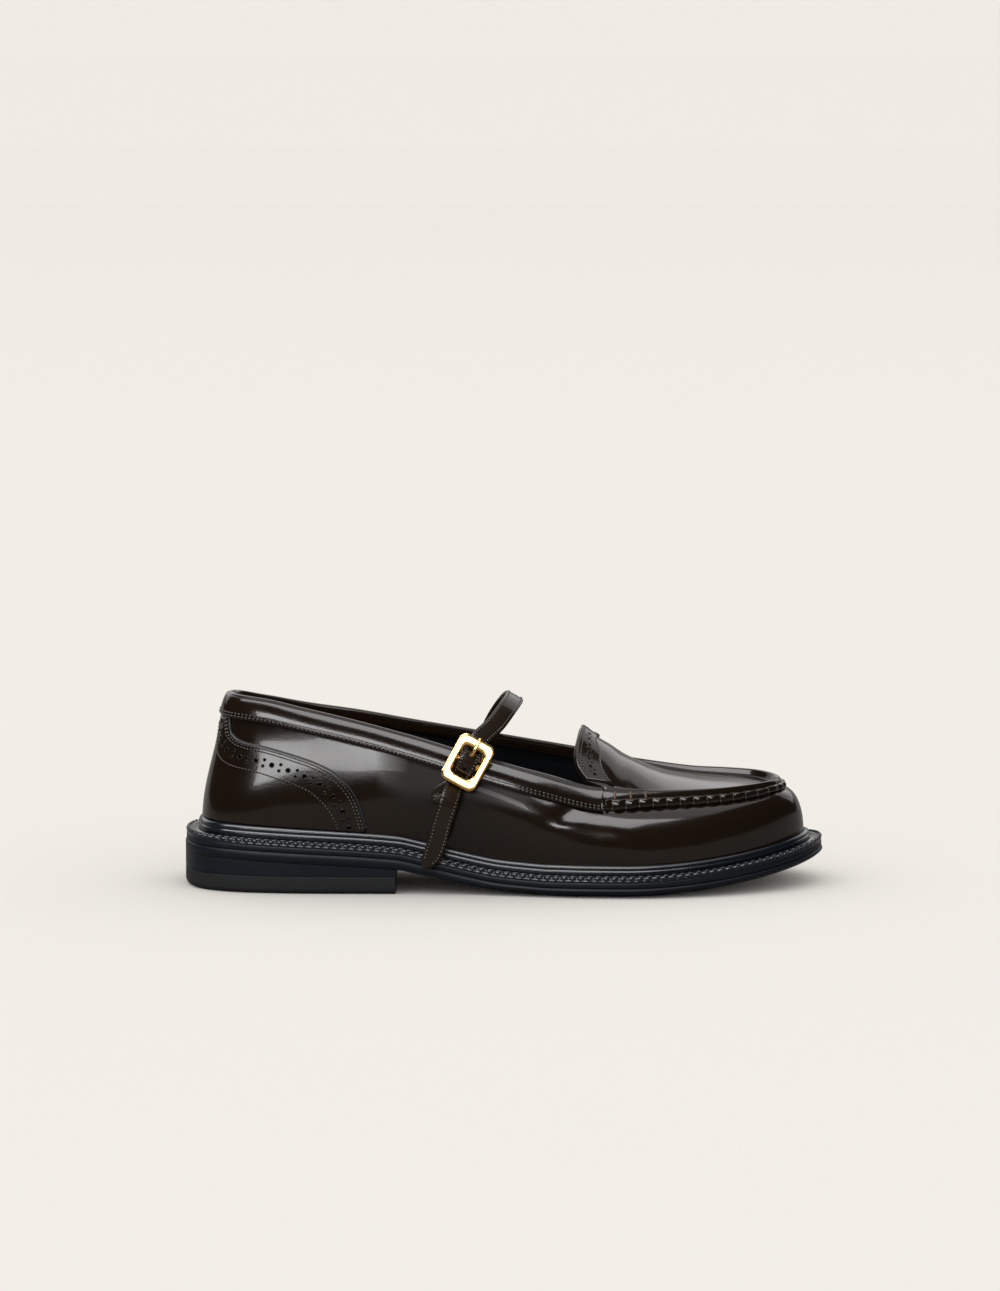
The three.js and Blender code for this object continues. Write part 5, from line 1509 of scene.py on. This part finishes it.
def build_sweep(scene, colours):
    """Cream paper floor that curves up far behind the shoe, with painted shade darkening it in reflections."""
    material, tree, surface = shader("Cream paper floor")
    paper = noise(tree, scaled_coordinates(tree), 6, 3, 0.5)
    seen = colour_mix(tree, paper, [c * 0.995 for c in colours.floor], tuple(colours.floor))
    # Painted shade: glossy rays see the floor at a fraction of its colour, so the leather reflects a darker
    # floor than the camera sees
    shade = tree.nodes.new("ShaderNodeMix")
    shade.data_type = "RGBA"
    path = tree.nodes.new("ShaderNodeLightPath")
    tree.links.new(path.outputs["Is Glossy Ray"], shade.inputs["Factor"])
    tree.links.new(seen, shade.inputs["A"])
    shade.inputs["B"].default_value = (*(c * FLOOR_REFLECTION_SHADE for c in colours.floor), 1)
    tree.links.new(shade.outputs["Result"], surface.inputs["Base Color"])
    surface.inputs["Roughness"].default_value = 0.9
    surface.inputs["Specular IOR Level"].default_value = 0.0
    profile = [(-1.6, 0.0), (5.0, 0.0)]
    profile += [(5 + 2 * math.sin(a), 2 - 2 * math.cos(a)) for a in np.linspace(0.1, math.pi / 2, 10)]
    profile.append((7.0, 5.0))
    verts = [(x, y, z) for y, z in profile for x in (-6.0, 6.0)]
    faces = [(2 * i, 2 * i + 1, 2 * i + 3, 2 * i + 2) for i in range(len(profile) - 1)]
    mesh = bpy.data.meshes.new("paper_sweep")
    mesh.from_pydata(verts, [], faces)
    mesh.materials.append(material)
    sweep = bpy.data.objects.new("paper_sweep", mesh)
    scene.collection.objects.link(sweep)


def build_air(scene):
    """Even light from all round, which polished leather sees only as a dark room."""
    world = bpy.data.worlds.new("Studio air")
    world.use_nodes = True
    tree = world.node_tree
    background = tree.nodes["Background"]
    background.inputs["Color"].default_value = (0.99, 0.995, 1, 1)
    path = tree.nodes.new("ShaderNodeLightPath")
    share = tree.nodes.new("ShaderNodeMapRange")
    share.inputs["To Min"].default_value = AIR_LIGHT
    share.inputs["To Max"].default_value = AIR_REFLECTED
    tree.links.new(path.outputs["Is Glossy Ray"], share.inputs["Value"])
    tree.links.new(share.outputs["Result"], background.inputs["Strength"])
    scene.world = world


def build_stage(scene, colours):
    pieces = [obj for obj in scene.objects if obj.type == "MESH"]
    metal = [obj for obj in pieces if obj.name.endswith("_metal")]
    build_sweep(scene, colours)
    build_air(scene)
    shoe, brass = light_group("Lit shoe", pieces), light_group("Lit buckle", metal)
    soft_box("quarter_softbox", -23, 21, 38, 8, 11.0, shoe)
    soft_box("overhead_softbox", -29, 58, 63, 26, 6.5, shoe)
    soft_box("ceiling_softbox", 0, 88, 50, 50, 1.2, shoe)
    soft_box("rear_softbox", 180, 36, 110, 44, 0.9, shoe)
    soft_box("buckle_face_card", 8, 8, 22, 17, 7.0, brass)
    soft_box("buckle_low_card", 5, -24, 100, 34, 0.6, brass, (1, 0.9, 0.75))
    scene.view_settings.view_transform = "Standard"
    build_camera(scene)


def build_camera(scene):
    elevation = math.radians(CAMERA_ELEVATION)
    data = bpy.data.cameras.new("camera")
    data.sensor_width = 36
    data.lens = CAMERA_LENS
    data.clip_end = 50
    camera = bpy.data.objects.new("camera", data)
    scene.collection.objects.link(camera)
    camera.location = CAMERA_TARGET + Vector((0, -math.cos(elevation), math.sin(elevation))) * CAMERA_DISTANCE
    camera.rotation_euler = (CAMERA_TARGET - camera.location).to_track_quat("-Z", "Y").to_euler()
    scene.camera = camera


class ShoeSizes(bpy.types.PropertyGroup):
    """Sizes of the fine work on the shoe."""

    leather_thickness: FloatProperty(name="Leather", description="Thickness of the upper's leather skin",
                                     default=0.0011, min=0.0005, max=0.0016, unit="LENGTH")
    stitch_pitch: FloatProperty(name="Stitch pitch", description="Distance from one stitch to the next",
                                default=0.0018, min=0.001, max=0.004, unit="LENGTH")
    welt_stitch_pitch: FloatProperty(name="Welt stitch pitch", description="Distance between welt stitches",
                                     default=0.0035, min=0.002, max=0.006, unit="LENGTH")
    wheel_pitch: FloatProperty(name="Wheel pitch", description="Distance between the welt's wheel marks",
                               default=0.0035, min=0.002, max=0.006, unit="LENGTH")
    pucker_pitch: FloatProperty(name="Pucker pitch", description="Distance between puckers of the apron seam",
                                default=0.0058, min=0.003, max=0.01, unit="LENGTH")
    punch_pitch: FloatProperty(name="Punch pitch", description="Distance between the counter's large holes",
                               default=0.0071, min=0.004, max=0.012, unit="LENGTH")
    punch_radius: FloatProperty(name="Punch radius", description="Radius of the counter's large holes",
                                default=0.00085, min=0.0005, max=0.002, unit="LENGTH")
    crease_strength: FloatProperty(name="Creases", description="Depth of the soft creases in the vamp",
                                   default=1.0, min=0, max=2, subtype="FACTOR")
    heel_layers: IntProperty(name="Heel layers", description="Leather layers in the stacked heel",
                             default=1, min=1, max=5)


class ShoeColours(bpy.types.PropertyGroup):
    """Colours of the shoe and its stage."""

    upper: FloatVectorProperty(name="Upper", description="Colour of the polished upper leather",
                               default=(0.0048, 0.0027, 0.0014), subtype="COLOR", min=0, max=1)
    lining: FloatVectorProperty(name="Lining", description="Colour of the lining leather",
                                default=(0.0022, 0.003, 0.0045), subtype="COLOR", min=0, max=1)
    thread: FloatVectorProperty(name="Thread", description="Colour of the waxed stitching thread",
                                default=(0.035, 0.032, 0.03), subtype="COLOR", min=0, max=1)
    seam_thread: FloatVectorProperty(name="Seam thread", description="Colour of the apron seam's thread",
                                     default=(0.06, 0.03, 0.02), subtype="COLOR", min=0, max=1)
    sole: FloatVectorProperty(name="Sole", description="Colour of the waxed sole edge and welt",
                              default=(0.0028, 0.0046, 0.007), subtype="COLOR", min=0, max=1)
    rubber: FloatVectorProperty(name="Heel rubber", description="Colour of the heel's top piece",
                                default=(0.009, 0.0095, 0.01), subtype="COLOR", min=0, max=1)
    buckle: FloatVectorProperty(name="Buckle", description="Colour of the gold-coloured brass",
                                default=(0.92, 0.58, 0.22), subtype="COLOR", min=0, max=1)
    floor: FloatVectorProperty(name="Floor", description="Colour of the floor and backdrop",
                               default=(0.88, 0.846, 0.791), subtype="COLOR", min=0, max=1)


class SHOE_OT_materials(bpy.types.Operator):
    """Make every leather, sole and metal finish."""

    bl_idname = "shoe.materials"
    bl_label = "Materials"
    bl_options = {"REGISTER", "UNDO"}

    def execute(self, context):
        build_materials(context.scene.shoe_colours)
        return {"FINISHED"}


class SHOE_OT_upper(bpy.types.Operator):
    """Build the upper's leather and its lining."""

    bl_idname = "shoe.upper"
    bl_label = "Upper and lining"
    bl_options = {"REGISTER", "UNDO"}

    def execute(self, context):
        build_upper(context.scene.shoe_sizes)
        return {"FINISHED"}


class SHOE_OT_collar(bpy.types.Operator):
    """Build the rolled collar band and its stitching."""

    bl_idname = "shoe.collar"
    bl_label = "Collar band"
    bl_options = {"REGISTER", "UNDO"}

    def execute(self, context):
        build_collar(context.scene.shoe_sizes)
        return {"FINISHED"}


class SHOE_OT_counter(bpy.types.Operator):
    """Build the punched heel counter."""

    bl_idname = "shoe.counter"
    bl_label = "Heel counter"
    bl_options = {"REGISTER", "UNDO"}

    def execute(self, context):
        build_counter(context.scene.shoe_sizes)
        return {"FINISHED"}


class SHOE_OT_moc_seam(bpy.types.Operator):
    """Build the puckered apron seam."""

    bl_idname = "shoe.moc_seam"
    bl_label = "Apron seam"
    bl_options = {"REGISTER", "UNDO"}

    def execute(self, context):
        build_moc_seam(context.scene.shoe_sizes)
        return {"FINISHED"}


class SHOE_OT_tongue(bpy.types.Operator):
    """Build the punched strip on the tongue."""

    bl_idname = "shoe.tongue"
    bl_label = "Tongue strip"
    bl_options = {"REGISTER", "UNDO"}

    def execute(self, context):
        build_tongue()
        return {"FINISHED"}


class SHOE_OT_rand(bpy.types.Operator):
    """Build the double rolled rand."""

    bl_idname = "shoe.rand"
    bl_label = "Rand"
    bl_options = {"REGISTER", "UNDO"}

    def execute(self, context):
        build_rand()
        return {"FINISHED"}


class SHOE_OT_welt(bpy.types.Operator):
    """Build the wheeled and stitched welt."""

    bl_idname = "shoe.welt"
    bl_label = "Welt"
    bl_options = {"REGISTER", "UNDO"}

    def execute(self, context):
        build_welt(context.scene.shoe_sizes)
        return {"FINISHED"}


class SHOE_OT_sole(bpy.types.Operator):
    """Build the outsole, midsole and sock lining."""

    bl_idname = "shoe.sole"
    bl_label = "Sole"
    bl_options = {"REGISTER", "UNDO"}

    def execute(self, context):
        build_sole()
        return {"FINISHED"}


class SHOE_OT_heel(bpy.types.Operator):
    """Build the stacked heel and its top piece."""

    bl_idname = "shoe.heel"
    bl_label = "Heel"
    bl_options = {"REGISTER", "UNDO"}

    def execute(self, context):
        build_heel(context.scene.shoe_sizes)
        return {"FINISHED"}


class SHOE_OT_strap(bpy.types.Operator):
    """Build the instep strap and the buckle's tab."""

    bl_idname = "shoe.strap"
    bl_label = "Strap"
    bl_options = {"REGISTER", "UNDO"}

    def execute(self, context):
        build_strap(context.scene.shoe_sizes)
        build_tab()
        return {"FINISHED"}


class SHOE_OT_buckle(bpy.types.Operator):
    """Build the buckle's frame and prong."""

    bl_idname = "shoe.buckle"
    bl_label = "Buckle"
    bl_options = {"REGISTER", "UNDO"}

    def execute(self, context):
        build_buckle()
        build_prong()
        return {"FINISHED"}


class SHOE_OT_stage(bpy.types.Operator):
    """Build the floor, lights and camera."""

    bl_idname = "shoe.stage"
    bl_label = "Stage"
    bl_options = {"REGISTER", "UNDO"}

    def execute(self, context):
        build_stage(context.scene, context.scene.shoe_colours)
        return {"FINISHED"}


OPERATORS = (
    SHOE_OT_materials, SHOE_OT_upper, SHOE_OT_collar, SHOE_OT_counter, SHOE_OT_moc_seam,
    SHOE_OT_tongue, SHOE_OT_rand, SHOE_OT_welt, SHOE_OT_sole, SHOE_OT_heel,
    SHOE_OT_strap, SHOE_OT_buckle, SHOE_OT_stage,
)


class SHOE_PT_panel(bpy.types.Panel):
    """Lists the shoe's pieces, sizes and colours."""

    bl_label = "Strap loafer shoe"
    bl_idname = "SHOE_PT_panel"
    bl_space_type = "VIEW_3D"
    bl_region_type = "UI"
    bl_category = "Shoe"

    def draw(self, context):
        column = self.layout.column(align=True)
        for operator in OPERATORS:
            column.operator(operator.bl_idname)
        for group in (context.scene.shoe_sizes, context.scene.shoe_colours):
            for name in group.__annotations__:
                self.layout.prop(group, name)


CLASSES = (ShoeSizes, ShoeColours, *OPERATORS, SHOE_PT_panel)


def register():
    for cls in CLASSES:
        bpy.utils.register_class(cls)
    bpy.types.Scene.shoe_sizes = PointerProperty(type=ShoeSizes)
    bpy.types.Scene.shoe_colours = PointerProperty(type=ShoeColours)


def unregister():
    del bpy.types.Scene.shoe_colours
    del bpy.types.Scene.shoe_sizes
    for cls in reversed(CLASSES):
        bpy.utils.unregister_class(cls)


def main():
    register()
    for operator in OPERATORS:
        getattr(bpy.ops.shoe, operator.bl_idname.split(".")[1])()


if __name__ == "__main__":
    main()
